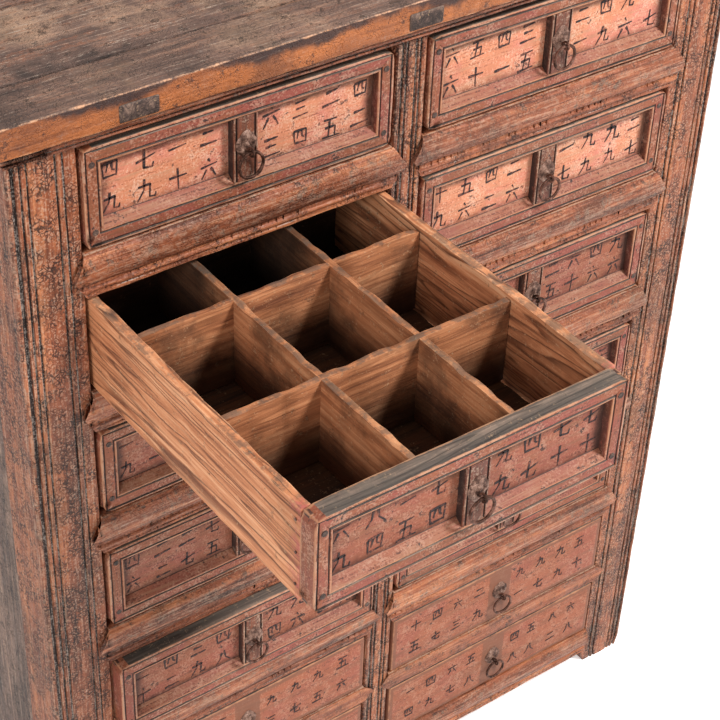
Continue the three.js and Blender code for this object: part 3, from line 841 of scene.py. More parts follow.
# %% [markdown]
# ## The rails
# Each rail is a broad cushion over a small bead. Its ends are cut to a point and lap over the beads
# of the posts and the stile, an old way to hide the joint. Behind the moulded faces run a plain bar
# and the dust board that carries the drawer above.

# %% Rails
WING = 13 * MM
BULGE = 7.0
NOMINAL_HEIGHT = 46.0
FACE_BACK = -0.3
TONGUE_BACK, BAR_BACK = 20 * MM, 40 * MM
DUST_FRONT, DUST_THICKNESS, DUST_PLANKS = 47 * MM, 10 * MM, 3
GUIDE_RISE = 12 * MM


def rail_section(top, height, depth):
    """(forward, down) in millimetres: fillet, cushion, groove, bead and lower fillet."""
    scale = height / MM / NOMINAL_HEIGHT
    cushion = arc((1.0, 17.0 * scale), (BULGE - 1.4, 15.5 * scale), -82, 82, 12)
    bead = arc((-0.2, 38.2 * scale), (3.6, 3.6 * scale), -80, 80, 6)
    points = [(0.8, 0.0, 1.0), (1.6, 0.9, 2.0)]
    points += [(forward, down, forward + 0.5) for forward, down in cushion]
    points += [(0.8, 33.6 * scale, -3.0)]
    points += [(forward, down, forward * 0.9) for forward, down in bead]
    points += [(0.8, 42.4 * scale, -3.0), (1.9, 43.2 * scale, 2.0)]
    points += [(1.9, height / MM, 1.0), (-depth, height / MM, 0.0), (-depth, 0.0, 0.0)]
    return points, top


def flat_rail_section(top, height, depth):
    tall = height / MM
    points = [(1.8, 0.0, 2.0), (3.0, 1.2, 4.5), (3.0, tall - 1.4, 1.5), (1.8, tall, 1.0)]
    points += [(-depth, tall, 0.0), (-depth, 0.0, 0.0)]
    return points, top


def section_at(x, points, top):
    return [
        (Vector((x, FRONT_Y - forward * MM, top - down * MM)), relief)
        for forward, down, relief in points
    ]


def add_rail_face(name, centre, section, height, node):
    """One column's face of a rail, cut to a point at both ends."""
    points, top = section
    reach = OPENING_WIDTH / 2 + WING
    steps = 44
    bm = sweep_mesh(section_at(centre - reach, points, top), Vector((2 * reach / steps, 0, 0)), steps)
    middle = top - height / 2
    for side in (-1, 1):
        tip = Vector((centre + side * reach, FRONT_Y, middle))
        for lean in (-1, 1):
            cut_off(bm, tip, Vector((side * height / 2, 0, lean * WING)))
    roughen(bm, 0.9 * MM, size=0.022, seed=centre * 30 + top * 17)
    frame_piece(bm, name, "x", node)


def add_dust_board(node, low, high):
    """The board behind a rail, in three planks, with the guide that parts the two columns."""
    top = high.z - GUIDE_RISE
    front = low.y + DUST_FRONT
    width = (high.y - front) / DUST_PLANKS
    for index in range(DUST_PLANKS):
        y = front + index * width
        raw_board(
            f"{node}_plank_{index + 1}",
            (-OPENING_EDGE + MM, y + HAIR_GAP, top - DUST_THICKNESS),
            (OPENING_EDGE - MM, y + width - HAIR_GAP, top),
            "x", node, rough=0.0,
        )
    raw_board(
        f"{node}_guide", (-STILE_HALF + MM, front, top), (STILE_HALF - MM, high.y, top + GUIDE_RISE),
        "y", node, rough=0.0,
    )


def add_rails():
    for row in range(1, 7):
        node = f"rail_under_row_{row}"
        low, high = node_box(node)
        top = high.z - GUIDE_RISE
        height = top - low.z
        make = rail_section if row < 6 else flat_rail_section
        for side, centre in COLUMNS.items():
            add_rail_face(f"{node}_{side}_face", centre, make(top, height, FACE_BACK), height, node)
            frame_board(
                f"{node}_{side}_tongue",
                (centre - OPENING_WIDTH / 2 + GAP, FRONT_Y - HAIR_GAP, low.z + HAIR_GAP),
                (centre + OPENING_WIDTH / 2 - GAP, FRONT_Y + TONGUE_BACK, top - HAIR_GAP),
                "x", node,
            )
        bar_front, bar_back = FRONT_Y + TONGUE_BACK + GAP, FRONT_Y + BAR_BACK
        raw_board(
            f"{node}_bar", (-OPENING_EDGE, bar_front, low.z), (OPENING_EDGE, bar_back, top), "x", node,
        )
        add_dust_board(node, low, high)


def add_bottom_rail():
    node = "rail_bottom"
    low, high = node_box(node)
    top = high.z - GUIDE_RISE
    height = top - low.z
    points, level = rail_section(top, height, 38.0)
    steps = 90
    start = -OPENING_EDGE + GAP
    bm = sweep_mesh(section_at(start, points, level), Vector((-2 * start / steps, 0, 0)), steps)
    roughen(bm, 0.9 * MM, size=0.025, seed=5.0)
    frame_piece(bm, "rail_bottom_moulded", "x", node)
    add_dust_board(node, low, high)


add_rails()
add_bottom_rail()
print("rails done")

# %% [markdown]
# ## Cornice and header
# Between the body and the top lies a thin moulded board. Its moulding runs round three sides and is
# mitred at the corners; a plain core fills the middle, and a header strip drops in front of row one.

# %% Cornice
cornice_low, cornice_high = node_box("cornice_board")
CORNICE_BASE = BODY_TOP + GAP
CORNICE_CORE = 13 * MM
CORNICE_WIDTH = 40 * MM
CORNICE_SPARE = 14 * MM
SIDE_SET_BACK = 3 * MM
CORNICE_SECTION = [
    (5.0, 0.0, 1.0), (6.4, 0.9, 3.0), (7.0, 2.2, 4.5), (6.4, 3.4, 3.0), (4.8, 4.1, -4.0),
    (4.8, 5.7, -4.0), (7.0, 6.3, 1.0), (9.6, 7.0, 2.0), (11.4, 8.8, 4.5), (12.0, 10.6, 6.0),
    (11.6, 12.2, 5.0), (10.4, 13.4, 3.0),
]


def add_cornice():
    corner_x = HALF_WIDTH - SIDE_SET_BACK
    inner = [(-CORNICE_WIDTH / MM, 13.4, 0.0), (-CORNICE_WIDTH / MM, 0.0, 0.0)]
    section = CORNICE_SECTION + inner
    reach = corner_x + CORNICE_SPARE
    steps = 90
    at_start = [
        (Vector((-reach, FRONT_Y - out * MM, CORNICE_BASE + up * MM)), relief)
        for out, up, relief in section
    ]
    bm = sweep_mesh(at_start, Vector((2 * reach / steps, 0, 0)), steps)
    for side in (-1, 1):
        cut_off(bm, Vector((side * corner_x, FRONT_Y, 0)), Vector((side, 1, 0)))
    roughen(bm, 0.5 * MM, size=0.03, seed=2.0)
    frame_piece(bm, "cornice_front", "x", "cornice_board")
    length = cornice_high.y - FRONT_Y + CORNICE_SPARE
    side_steps = 50
    for label, side in (("left", -1), ("right", 1)):
        at_start = [
            (Vector((side * (corner_x + out * MM), FRONT_Y - CORNICE_SPARE, CORNICE_BASE + up * MM)), relief)
            for out, up, relief in section
        ]
        bm = sweep_mesh(at_start, Vector((0, length / side_steps, 0)), side_steps)
        cut_off(bm, Vector((side * corner_x, FRONT_Y, 0)), Vector((-side, -1, 0)))
        roughen(bm, 0.5 * MM, size=0.03, seed=4.0 + side)
        frame_piece(bm, f"cornice_{label}", "y", "cornice_board")
    raw_board(
        "cornice_core",
        (-corner_x + CORNICE_WIDTH, FRONT_Y + CORNICE_WIDTH, CORNICE_BASE),
        (corner_x - CORNICE_WIDTH, cornice_high.y, CORNICE_BASE + CORNICE_CORE),
        "x", "cornice_board", rough=0.0,
    )
    frame_board(
        "header_strip",
        (-OPENING_EDGE + GAP, FRONT_Y + MM, cornice_low.z),
        (OPENING_EDGE - GAP, FRONT_Y + CORNICE_WIDTH, CORNICE_BASE + 0.5 * MM),
        "x", "cornice_board",
    )


add_cornice()
print("cornice done")

# %% [markdown]
# ## The top
# The top is a panel of three planks between a front and a back member, closed at both ends by a
# narrow strip. Battens under the panel run through the front member, where their dark end grain
# shows as plain rectangles. Two finishes meet on each member: the worn surface and the edge.

# %% Top
top_low, top_high = node_box("top_front_member")
TOP_BASE, TOP_LEVEL = top_low.z, top_high.z
TOP_LEFT, TOP_FRONT = top_low.x, top_low.y
TOP_BACK = node_box("top_back_member")[1].y
MEMBER_WIDTH = top_high.y - top_low.y


def two_finishes(piece, second, wanted):
    """Gives the faces that pass the test a second material."""
    piece.data.materials.append(second)
    for face in piece.data.polygons:
        face.material_index = 1 if wanted(face.normal) else 0


def add_top_member(name, axis, outward):
    piece = add_board(
        f"{name}_worn", *node_box(name), "cabinet", TOP_WOOD[axis], "top_wood", [name],
        bevel=2.6 * MM, cuts=70, rough=0.8 * MM, segments=3,
    )
    two_finishes(piece, FASCIA_WOOD[axis], lambda normal: normal.dot(Vector(outward)) > 0.75)


PANEL_THICKNESS = 14 * MM
PANEL_PLANKS = 3
PLANK_GAP = 0.7 * MM
BATTENS = {"left": -301 * MM, "middle": 0.0, "right": 301 * MM}
BATTEN_HALF = 20 * MM
TENON_LOW, TENON_HIGH = 2.5 * MM, 20.5 * MM
TENON_PROUD = 1.2 * MM


def add_top_panel():
    node = "top_panel_with_battens"
    inner_x = -node_box("top_left_member")[1].x - GAP
    front, back = TOP_FRONT + MEMBER_WIDTH + GAP, TOP_BACK - MEMBER_WIDTH - GAP
    width = (back - front) / PANEL_PLANKS
    for index in range(PANEL_PLANKS):
        y = front + index * width
        add_board(
            f"top_plank_{index + 1}",
            (-inner_x, y + PLANK_GAP, TOP_LEVEL - PANEL_THICKNESS),
            (inner_x, y + width - PLANK_GAP, TOP_LEVEL - 0.5 * MM),
            "cabinet", TOP_PLANK, "top_wood", [node], bevel=1.3 * MM, cuts=60, rough=0.8 * MM,
        )
    for label, x in BATTENS.items():
        raw_board(
            f"batten_{label}",
            (x - BATTEN_HALF, front, TOP_BASE + TENON_LOW),
            (x + BATTEN_HALF, back, TOP_LEVEL - PANEL_THICKNESS),
            "y", node, rough=0.0,
        )
        for end, low_y, high_y in (
            ("front", TOP_FRONT - TENON_PROUD, TOP_FRONT + MEMBER_WIDTH),
            ("back", TOP_BACK - MEMBER_WIDTH, TOP_BACK),
        ):
            add_board(
                f"tenon_{label}_{end}",
                (x - BATTEN_HALF, low_y, TOP_BASE + TENON_LOW),
                (x + BATTEN_HALF, high_y, TOP_BASE + TENON_HIGH),
                "cabinet", END_GRAIN, "top_wood", [node],
                bevel=2.5 * MM, rough=0.5 * MM, cuts=8, segments=3,
            )


add_top_member("top_front_member", "x", (0, -1, 0))
add_top_member("top_back_member", "x", (0, 1, 0))
add_top_member("top_left_member", "y", (-1, 0, 0))
add_top_member("top_right_member", "y", (1, 0, 0))
add_top_panel()
print("top done")

# %% [markdown]
# ## Sides and back
# The sides are upright planks set back between the posts, over a low rail. The back is made of five
# rough planks that were never painted.

# %% Side and back panels
def add_planks(name, low, high, count, axis, material, slot, node):
    """Fills a box with upright planks laid side by side along one axis."""
    width = (high[axis] - low[axis]) / count
    for index in range(count):
        first, last = low.copy(), high.copy()
        first[axis] = low[axis] + index * width + GAP
        last[axis] = low[axis] + (index + 1) * width - GAP
        add_board(
            f"{name}_plank_{index + 1}", first, last, "cabinet", material, slot, [node],
            bevel=1.5 * MM, cuts=24, rough=0.6 * MM,
        )


def add_panels():
    for side in ("left", "right"):
        low, high = node_box(f"side_panel_{side}")
        add_planks(f"side_{side}", low, high, 3, 1, SIDE_PANEL_WOOD, "side_wood", f"side_panel_{side}")
        rail = f"side_bottom_rail_{side}"
        shape = {"bevel": 2 * MM, "cuts": 20, "rough": 0.7 * MM}
        frame_board(f"{rail}_board", *node_box(rail), "y", rail, **shape)
    low, high = node_box("back_panel")
    add_planks("back", low, high, 5, 0, BARE["z"], "raw_wood", "back_panel")


add_panels()
print("side and back panels done")

# %% [markdown]
# ## Drawer fronts
# The upper fronts have a mitred frame round two sunk fields with a block between them for the ring.
# The frame carries a scribed line near each edge, and the lower edge of each field slopes out like a
# sill. The fronts of the last two rows are plain boards with two painted fields.

# %% Drawer places
DRAWER_LENGTH = 425 * MM
FRONT_THICKNESS = 20 * MM
SIDE_BOARD = 11 * MM
BACK_BOARD = 10 * MM
DIVIDER = 8 * MM
BOTTOM_BOARD = 6 * MM
FRAME_BAND = 18 * MM
BLOCK_HALF = 13 * MM
RECESS = 10 * MM
LEDGE_RISE = 7 * MM
OPEN_DRAWER = ("left", 2)
OPEN_PARTS = (
    "front", "left_side", "right_side", "back", "bottom",
    "long_divider_1", "long_divider_2", "cross_divider_1", "cross_divider_2",
)


class Drawer:
    """Where one drawer stands, read from its CAD nodes."""

    def __init__(self, column, row):
        self.column = column
        self.row = row
        self.name = f"drawer_{column}_{row}"
        self.is_open = (column, row) == OPEN_DRAWER
        self.nodes = [f"{self.name}_{part}" for part in OPEN_PARTS] if self.is_open else [self.name]
        front_low, front_high = node_box(self.nodes[0])
        back = node_box(f"{self.name}_back")[1].y if self.is_open else front_high.y
        self.left, self.right = front_low.x, front_high.x
        self.centre = (self.left + self.right) / 2
        self.base, self.top = front_low.z, front_high.z
        self.middle = (self.base + self.top) / 2
        self.back = back
        self.face = back - DRAWER_LENGTH
        self.box_front = self.face + FRONT_THICKNESS
        self.box_top = self.top - MM
        self.flat = row > 5

    def node(self, part):
        """The CAD node that holds this part."""
        return [f"{self.name}_{part}"] if self.is_open else [self.name]

    def piece(self, bm, label, material, slot="front_paint", part="front"):
        """One piece that slides with this drawer and stands in for one of its parts."""
        return make_piece(bm, f"{self.name}_{label}", self.name, material, self.node(part))


DRAWERS = [Drawer(column, row) for row in range(1, 8) for column in COLUMNS]
print("drawers:", len(DRAWERS))

# %% The mitred frame of a sunk front
# Distance from the outer edge, depth behind the face, and relief, all in millimetres.
FRAME_SECTION = [
    (0.0, 20.0, 0.0), (0.0, 2.0, 2.0), (0.5, 0.8, 4.0), (1.4, 0.2, 4.5), (3.0, 0.2, 4.0),
    (3.5, 1.4, -3.5), (4.3, 1.4, -3.5), (4.9, 0.4, 2.4), (9.5, 0.2, 1.4), (14.0, 0.4, 2.4),
    (14.5, 1.4, -3.5), (15.2, 1.4, -3.5), (15.8, 0.3, 3.5), (17.3, 0.3, 3.0), (18.2, 0.9, 2.0),
    (18.3, 2.6, -0.6), (18.4, 20.0, -1.6),
]


def frame_member(drawer, edge):
    """One side of the frame as a mesh: edge is top, bottom, left or right."""
    upright = edge in ("left", "right")
    sign = 1 if edge in ("left", "bottom") else -1
    outer = getattr(drawer, {"bottom": "base"}.get(edge, edge))
    start = drawer.base if upright else drawer.left
    end = drawer.top if upright else drawer.right
    section = []
    for u, depth, relief in FRAME_SECTION:
        across = outer + sign * u * MM
        y = drawer.face + depth * MM
        place = Vector((across, y, start)) if upright else Vector((start, y, across))
        section.append((place, relief))
    steps = 10 if upright else 30
    along = Vector((0, 0, 1)) if upright else Vector((1, 0, 0))
    bm = sweep_mesh(section, along * ((end - start) / steps), steps)
    inward = Vector((sign, 0, 0)) if upright else Vector((0, 0, sign))
    for at, outward in ((start, -1), (end, 1)):
        corner = Vector((outer, 0, at)) if upright else Vector((at, 0, outer))
        cut_off(bm, corner, inward + along * outward)
    near, far = sorted((outer, outer + sign * FRAME_BAND))
    low = Vector((near, drawer.face, start) if upright else (start, drawer.face, near))
    high = Vector((far, drawer.box_front, end) if upright else (end, drawer.box_front, far))
    return mark(bm, f"{drawer.name}_{edge}", (low, high))


CORNER_WEAR = 10 * MM


def round_corners(bm, drawer):
    """Pulls the four outer corners of a front in to a small arc, as years of knocks have done."""
    for vert in bm.verts:
        side = 1 if vert.co.x > drawer.centre else -1
        level = 1 if vert.co.z > drawer.middle else -1
        edge_x = drawer.right if side > 0 else drawer.left
        edge_z = drawer.top if level > 0 else drawer.base
        x = CORNER_WEAR - abs(edge_x - vert.co.x)
        z = CORNER_WEAR - abs(edge_z - vert.co.z)
        reach = math.hypot(x, z)
        if x > 0 and z > 0 and reach > CORNER_WEAR:
            vert.co.x = edge_x - side * (CORNER_WEAR - x * CORNER_WEAR / reach)
            vert.co.z = edge_z - level * (CORNER_WEAR - z * CORNER_WEAR / reach)


def add_frame(drawer):
    for edges, label in ((("top", "bottom"), "rails"), (("left", "right"), "stiles")):
        bm = merge([frame_member(drawer, edge) for edge in edges])
        round_corners(bm, drawer)
        roughen(bm, 0.55 * MM, size=0.02, seed=drawer.centre * 20 + drawer.base * 13)
        axis = "x" if label == "rails" else "z"
        piece = drawer.piece(bm, f"frame_{label}", FRAME_PAINT[axis])
        two_finishes(piece, FRONT_BACK, lambda normal: normal.z > 0.8 and label == "rails")


# %% Sunk fields, ledges and the block
BLOCK_SECTION = mirrored([
    (-13.0, 10.0, -1.6), (-13.0, 2.4, -1.0), (-13.0, 1.0, 1.5), (-12.2, 0.2, 4.0), (-11.0, 0.1, 3.0),
    (-10.5, 1.5, -4.0), (-9.3, 1.5, -4.0), (-8.8, 0.2, 1.6), (0.0, 0.0, 1.6),
])
LEDGE_SECTION = [(0.4, 0.0, 2.5), (8.6, 5.7, 1.6), (10.5, 7.0, -3.0), (10.5, -0.5, 0.0), (0.4, -0.5, 0.0)]


def add_field(drawer):
    # From the third row down, and on the open drawer, the field takes the darker paint; on the third left
    # front it also stands for the open drawer's shadow.
    add_board(
        f"{drawer.name}_field",
        (drawer.left + 2 * MM, drawer.face + RECESS, drawer.base + 2 * MM),
        (drawer.right - 2 * MM, drawer.box_front - 0.2 * MM, drawer.top - 2 * MM),
        drawer.name, WORN_AND_SHADOWED_PANEL if drawer.is_open or drawer.row > 2 else PANEL_PAINT, "front_paint",
        drawer.node("front"), cuts=20, rough=0.15 * MM,
    )


PEG_RADIUS = 3.2 * MM
PEG_INSET = (9.5 * MM, 17 * MM)


def stud_mesh(place, axis, radius, far_radius, depth, segments):
    """A short round pin that lies along X or Y."""
    bm = bmesh.new()
    turn = Matrix.Rotation(math.pi / 2, 4, "Y" if axis == "x" else "X")
    bmesh.ops.create_cone(
        bm, cap_ends=True, segments=segments, radius1=radius, radius2=far_radius, depth=depth,
        matrix=Matrix.Translation(place) @ turn,
    )
    return bm


def add_pegs(drawer):
    """The dark ends of the pegs that lock the four corners of the frame."""
    parts = []
    for side in (-1, 1):
        for level in (-1, 1):
            x = drawer.centre + side * ((drawer.right - drawer.left) / 2 - PEG_INSET[0])
            z = drawer.middle + level * ((drawer.top - drawer.base) / 2 - PEG_INSET[1])
            place = (x, drawer.face + 0.7 * MM, z)
            peg = stud_mesh(place, "y", PEG_RADIUS, PEG_RADIUS * 0.9, 1.4 * MM, 14)
            parts.append(mark(peg, "peg"))
    drawer.piece(merge(parts), "pegs", END_GRAIN)


def add_ledges(drawer):
    level = drawer.base + FRAME_BAND
    parts = []
    for side in (-1, 1):
        start = drawer.centre + side * BLOCK_HALF
        end = drawer.centre + side * ((drawer.right - drawer.left) / 2 - FRAME_BAND)
        places = [
            (Vector((start, drawer.face + depth * MM, level + up * MM)), relief)
            for depth, up, relief in LEDGE_SECTION
        ]
        bm = sweep_mesh(places, Vector(((end - start) / 16, 0, 0)), 16)
        parts.append(mark(bm, f"{drawer.name}_ledge_{side}"))
    bm = merge(parts)
    roughen(bm, 0.3 * MM, size=0.015, seed=drawer.centre * 9)
    drawer.piece(bm, "ledges", LEDGE_PAINT)


def add_block(drawer):
    low_z, high_z = drawer.base + FRAME_BAND, drawer.top - FRAME_BAND
    section = [
        (Vector((drawer.centre + u * MM, drawer.face + depth * MM, low_z)), relief)
        for u, depth, relief in BLOCK_SECTION
    ]
    bm = sweep_mesh(section, Vector((0, 0, (high_z - low_z) / 10)), 10)
    roughen(bm, 0.35 * MM, size=0.015, seed=drawer.centre * 7)
    drawer.piece(bm, "block", BLOCK_PAINT)


# %% Flat fronts
def add_flat_front(drawer):
    """One board with a rounded arris, and two painted fields that leave the middle bare."""
    piece = add_board(
        f"{drawer.name}_board",
        (drawer.left, drawer.face, drawer.base),
        (drawer.right, drawer.box_front, drawer.top),
        drawer.name, FLAT_PAINT, "front_paint", drawer.node("front"),
        bevel=2.2 * MM, cuts=40, rough=0.4 * MM, segments=3,
    )
    two_finishes(piece, FRONT_BACK, lambda normal: normal.z > 0.8)


# %% [markdown]
# ## Drawer boxes
# Behind each front stands a nailed box of thin softwood boards: two sides, a back, a bottom, and two
# dividers each way that are halved into one another and make nine compartments.

# %% Drawer boxes
CROSS_LIFT = 0.2 * MM
DIVIDER_DROP = 3 * MM


def add_box(drawer):
    inner_left, inner_right = drawer.left + SIDE_BOARD, drawer.right - SIDE_BOARD
    inner_back = drawer.back - BACK_BOARD
    front, top, base = drawer.box_front + 0.2 * MM, drawer.box_top, drawer.base
    detail, rough = (44, 1.0 * MM) if drawer.is_open else (4, 0.35 * MM)

    def plank(part, low, high, material):
        chips = (4 * MM if "divider" in part else 2 * MM) if drawer.is_open else 0.0
        add_board(
            f"{drawer.name}_{part}_board", low, high, drawer.name, material, "raw_wood",
            drawer.node(part), bevel=1.0 * MM, cuts=detail, rough=rough, chips=chips,
        )

    for part, x in (("left_side", drawer.left), ("right_side", inner_right)):
        plank(part, (x, front, base), (x + SIDE_BOARD, drawer.back, top), SIDE_WOOD)
    plank("back", (inner_left, inner_back, base), (inner_right, drawer.back, top - MM), SHADED_BACK)
    floor_high = (inner_right, inner_back, base + BOTTOM_BOARD)
    plank("bottom", (inner_left, front, base), floor_high, SHADED_FLOOR_WOOD)
    width = (inner_right - inner_left - 2 * DIVIDER) / 3
    length = (inner_back - drawer.box_front - 2 * DIVIDER) / 3
    low, high = base + BOTTOM_BOARD, top - DIVIDER_DROP
    for index in (1, 2):
        x = inner_left + index * width + (index - 1) * DIVIDER
        part = f"long_divider_{index}"
        plank(part, (x, front, low), (x + DIVIDER, inner_back, high), DIVIDER_WOOD["y"])
        y = drawer.box_front + index * length + (index - 1) * DIVIDER
        part = f"cross_divider_{index}"
        last = (inner_right, y + DIVIDER, high + CROSS_LIFT)
        plank(part, (inner_left, y, low), last, DIVIDER_WOOD["x"])


# %% Nails in the sides of the open drawer
NAIL_RADIUS = 1.5 * MM


def add_nails(drawer):
    """Cut nails hold each side to the front and the back."""
    parts = []
    dice = random.Random("nails")
    height = drawer.box_top - drawer.base
    for x in (drawer.left, drawer.right):
        for y in (drawer.box_front + 6 * MM, drawer.back - 6 * MM):
            for share in (0.16, 0.5, 0.84):
                place = Vector((x, y + dice.uniform(-1, 1) * MM, drawer.base + height * share))
                nail = stud_mesh(place, "x", NAIL_RADIUS, NAIL_RADIUS * 0.8, 0.8 * MM, 9)
                parts.append(mark(nail, "nail"))
    drawer.piece(merge(parts), "nails", IRON, "iron", "left_side")


# %% [markdown]
# ## Pulls
# Each pull is a thin domed plate with a scalloped edge, an eye driven through it, and a ring of
# forged wire. The ring is a circle spun round the hinge, slightly uneven, and it turns on the eye.

# %% Plates, eyes and rings
PLATE_RADIUS = (11.5 * MM, 14 * MM)
PLATE_DOME = 3.4 * MM
PLATE_RISE = 5 * MM
LOBES, LOBE_DEPTH = 4, 0.06
EYE_REACH = 8 * MM
SHANK_LENGTH, SHANK_RADII = 5 * MM, (2.6 * MM, 1.4 * MM)
EYE_RADIUS, EYE_WIRE = 4.0 * MM, 1.2 * MM
RING_RADIUS, RING_WIRE = 12.9 * MM, 1.9 * MM


def wire_ring(middle, radius, wire, axis, steps=36, sides=10):
    """A circle of wire: a small circle spun round the axis through the middle."""
    bm = bmesh.new()
    place = Matrix.Translation(middle + Vector((0, 0, radius))) @ Matrix.Rotation(math.pi / 2, 4, axis)
    bmesh.ops.create_circle(bm, segments=sides, radius=wire, matrix=place)
    turn = Vector((0, 1, 0)) if axis == "Y" else Vector((1, 0, 0))
    bmesh.ops.spin(
        bm, geom=bm.edges[:], cent=middle, axis=turn, angle=math.tau, steps=steps, use_merge=True,
    )
    return bm


def add_plate(drawer):
    bm = bmesh.new()
    bmesh.ops.create_uvsphere(bm, u_segments=48, v_segments=16, radius=1.0)
    for vert in bm.verts:
        angle = math.atan2(vert.co.z, vert.co.x)
        lobe = 1 + LOBE_DEPTH * math.cos(LOBES * angle)
        out = math.hypot(vert.co.x, vert.co.z)
        ridge = 1 + 0.25 * math.cos(out * 9)
        vert.co = Vector((
            drawer.centre + vert.co.x * PLATE_RADIUS[0] * lobe,
            drawer.face + vert.co.y * PLATE_DOME * ridge,
            drawer.middle + PLATE_RISE + vert.co.z * PLATE_RADIUS[1] * lobe,
        ))
    roughen(bm, 0.9 * MM, size=0.0035, seed=drawer.middle * 40)
    drawer.piece(bm, "plate", IRON, "iron")
    middle = Vector((drawer.centre, drawer.face - EYE_REACH, drawer.middle))
    parts = [mark(wire_ring(middle, EYE_RADIUS, EYE_WIRE, "X", 20, 8), "eye")]
    place = (drawer.centre, drawer.face - SHANK_LENGTH / 2, drawer.middle)
    parts.append(mark(stud_mesh(place, "y", *SHANK_RADII, SHANK_LENGTH, 12), "shank"))
    drawer.piece(merge(parts), "eye", RING_IRON, "iron")


def add_ring(drawer):
    name = f"ring_{drawer.column}_{drawer.row}"
    middle = Vector((drawer.centre, drawer.face - EYE_REACH, drawer.middle - RING_RADIUS))
    bm = wire_ring(middle, RING_RADIUS, RING_WIRE, "Y")
    roughen(bm, 0.35 * MM, size=0.006, seed=drawer.centre * 30 + drawer.middle * 17)
    make_piece(bm, f"{name}_forged", name, RING_IRON, [name])


# %% [markdown]
# ## Numerals
# Each field carries brushed numerals in columns, two characters to a column. A stroke is a short
# chain of points in a unit square; it becomes a thin strip that swells and tapers like a brush mark.

# %% Brushed numerals
STROKES = {
    "1": [[(0.05, 0.48), (0.95, 0.56)]],
    "2": [[(0.2, 0.74), (0.8, 0.79)], [(0.03, 0.2), (0.97, 0.26)]],
    "3": [[(0.14, 0.84), (0.86, 0.88)], [(0.22, 0.52), (0.78, 0.55)], [(0.02, 0.12), (0.98, 0.17)]],
    "4": [
        [(0.1, 0.82), (0.15, 0.16)], [(0.1, 0.82), (0.9, 0.86), (0.84, 0.16)],
        [(0.4, 0.8), (0.3, 0.42)], [(0.6, 0.82), (0.63, 0.5), (0.76, 0.44)], [(0.15, 0.2), (0.84, 0.22)],
    ],
    "5": [
        [(0.12, 0.88), (0.88, 0.92)], [(0.46, 0.88), (0.34, 0.1)],
        [(0.18, 0.52), (0.76, 0.56), (0.7, 0.1)], [(0.0, 0.08), (1.0, 0.12)],
    ],
    "6": [
        [(0.44, 0.98), (0.56, 0.82)], [(0.04, 0.62), (0.96, 0.68)],
        [(0.36, 0.48), (0.1, 0.06)], [(0.6, 0.5), (0.76, 0.3), (0.9, 0.06)],
    ],
    "7": [[(0.03, 0.46), (0.97, 0.66)], [(0.45, 0.96), (0.42, 0.16), (0.84, 0.12), (0.9, 0.32)]],
    "8": [[(0.38, 0.8), (0.3, 0.4), (0.04, 0.1)], [(0.54, 0.88), (0.66, 0.4), (0.98, 0.1)]],
    "9": [
        [(0.1, 0.66), (0.7, 0.7), (0.64, 0.16), (0.92, 0.12), (0.96, 0.3)],
        [(0.42, 0.96), (0.38, 0.5), (0.04, 0.06)],
    ],
    "10": [[(0.03, 0.56), (0.97, 0.62)], [(0.5, 0.98), (0.48, 0.02)]],
}
DIGITS = ["1", "2", "3", "4", "4", "5", "5", "6", "6", "7", "7", "8", "9", "9", "10"]
BRUSH = 0.043
LEG_STEPS = 4
INK_PROUD, INK_DEPTH = 0.3 * MM, 0.6 * MM
GLYPH_COLUMNS = (33 * MM, 66 * MM, 99 * MM, 130 * MM)


def stroke_mesh(chain, place_of, brush):
    """A strip along a chain of points, from four quads per leg, thickened into the paint."""
    points = []
    for first, second in zip(chain, chain[1:]):
        leg = Vector(second) - Vector(first)
        points += [(Vector(first).lerp(Vector(second), i / LEG_STEPS), leg) for i in range(LEG_STEPS + 1)]
    bm = bmesh.new()
    rims = []
    for index, (point, direction) in enumerate(points):
        share = index / (len(points) - 1)
        width = brush * (1.15 - 0.75 * share ** 2 + 0.25 * math.sin(9 * share))
        side = Vector((-direction.y, direction.x)).normalized() * width
        rims.append((bm.verts.new(place_of(point + side)), bm.verts.new(place_of(point - side))))
    for (a, b), (c, d) in zip(rims, rims[1:]):
        bm.faces.new((a, b, d, c))
    solid = bmesh.ops.extrude_face_region(bm, geom=bm.faces[:])["geom"]
    moved = [item for item in solid if isinstance(item, bmesh.types.BMVert)]
    bmesh.ops.translate(bm, vec=(0, INK_DEPTH, 0), verts=moved)
    return bm


def add_numerals(drawer):
    dice = random.Random(f"{drawer.name} numerals")
    y = drawer.face - INK_PROUD + (0 if drawer.flat else RECESS)
    size = (16 * MM, 18 * MM) if drawer.flat else (20 * MM, 23 * MM)
    rows = (0.29, 0.72) if drawer.flat else (0.36, 0.66)
    height = drawer.top - drawer.base
    places = [(side, at) for side in (-1, 1) for at in GLYPH_COLUMNS]
    parts = []
    for side, at in places:
        edge = drawer.left if side < 0 else drawer.right
        x = edge - side * at + dice.uniform(-2, 2) * MM
        for share in rows:
            glyph = STROKES[dice.choice(DIGITS)]
            lean = dice.uniform(-0.06, 0.06)
            scale = dice.uniform(0.85, 1.08)
            z = drawer.base + height * share + dice.uniform(-1, 1) * MM

            def place_of(point):
                u, v = (point.x - 0.5) * scale, (point.y - 0.5) * scale
                return Vector((x + (u + lean * v) * size[0], y, z + (v + lean * u) * size[1]))

            for chain in glyph:
                bm = stroke_mesh(chain, place_of, BRUSH * dice.uniform(0.8, 1.25))
                parts.append(mark(bm, "stroke"))
    drawer.piece(merge(parts), "numerals", INK)


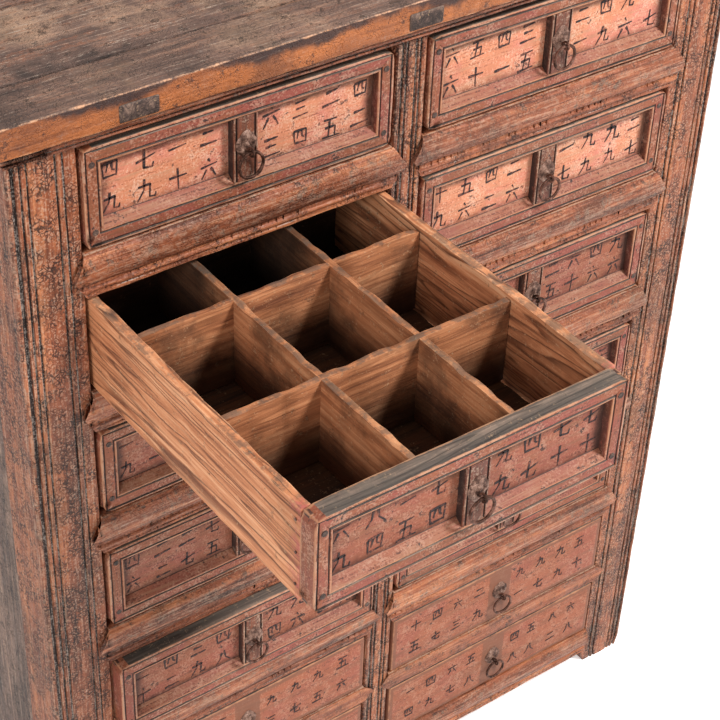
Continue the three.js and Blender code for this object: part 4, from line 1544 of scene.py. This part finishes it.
# %% All fourteen drawers
for drawer in DRAWERS:
    if drawer.flat:
        add_flat_front(drawer)
    else:
        add_frame(drawer)
        add_field(drawer)
        add_ledges(drawer)
        add_block(drawer)
        add_pegs(drawer)
    add_box(drawer)
    add_plate(drawer)
    add_ring(drawer)
    add_numerals(drawer)
    if drawer.is_open:
        add_nails(drawer)

# %% [markdown]
# ## Light and floor
# A large soft lamp stands high on the front right, a wider and weaker one on the left, and the white
# world fills the rest. The floor is a wide pale plane, so the cabinet seems to stand in open space.

# %% Light
TARGET = Vector((0, 0, 0.6))


def add_lamp(name, place, size, watts):
    data = bpy.data.lights.new(name, "AREA")
    data.shape = "DISK"
    data.size = size
    data.energy = watts
    lamp = bpy.data.objects.new(name, data)
    aim = (TARGET - Vector(place)).to_track_quat("-Z", "Y")
    lamp.matrix_world = Matrix.Translation(place) @ aim.to_matrix().to_4x4()
    bpy.context.scene.collection.objects.link(lamp)


def add_world(strength):
    world = bpy.data.worlds.new("studio")
    bpy.context.scene.world = world
    world.use_nodes = True
    background = world.node_tree.nodes["Background"]
    background.inputs["Color"].default_value = (1, 1, 1, 1)
    background.inputs["Strength"].default_value = strength


add_lamp("key", (1.5, -2.1, 3.5), size=0.8, watts=185)
add_lamp("fill", (-3.0, -1.8, 2.4), size=1.4, watts=62)
add_world(0.42)
bpy.context.scene.view_settings.view_transform = "Standard"

# %% Floor
FLOOR_SIZE = 30.0


def add_floor():
    finish = Finish("pale_floor")
    speckle = finish.noise(finish.node("ShaderNodeTexCoord").outputs["Object"], 3.0, 2.0)
    color = finish.mix(speckle, paint("#f4f3f1"), paint("#f8f7f5"))
    finish.finish(color, 0.8 + speckle * 0.05, Emission_Color=(1, 1, 1, 1), Emission_Strength=0.4)
    bm = bmesh.new()
    bmesh.ops.create_grid(bm, x_segments=4, y_segments=4, size=FLOOR_SIZE / 2)
    mesh = bpy.data.meshes.new("floor")
    bm.to_mesh(mesh)
    bm.free()
    mesh.materials.append(finish.material)
    floor = bpy.data.objects.new("floor", mesh)
    bpy.context.scene.collection.objects.link(floor)


add_floor()
print("floor and light done")
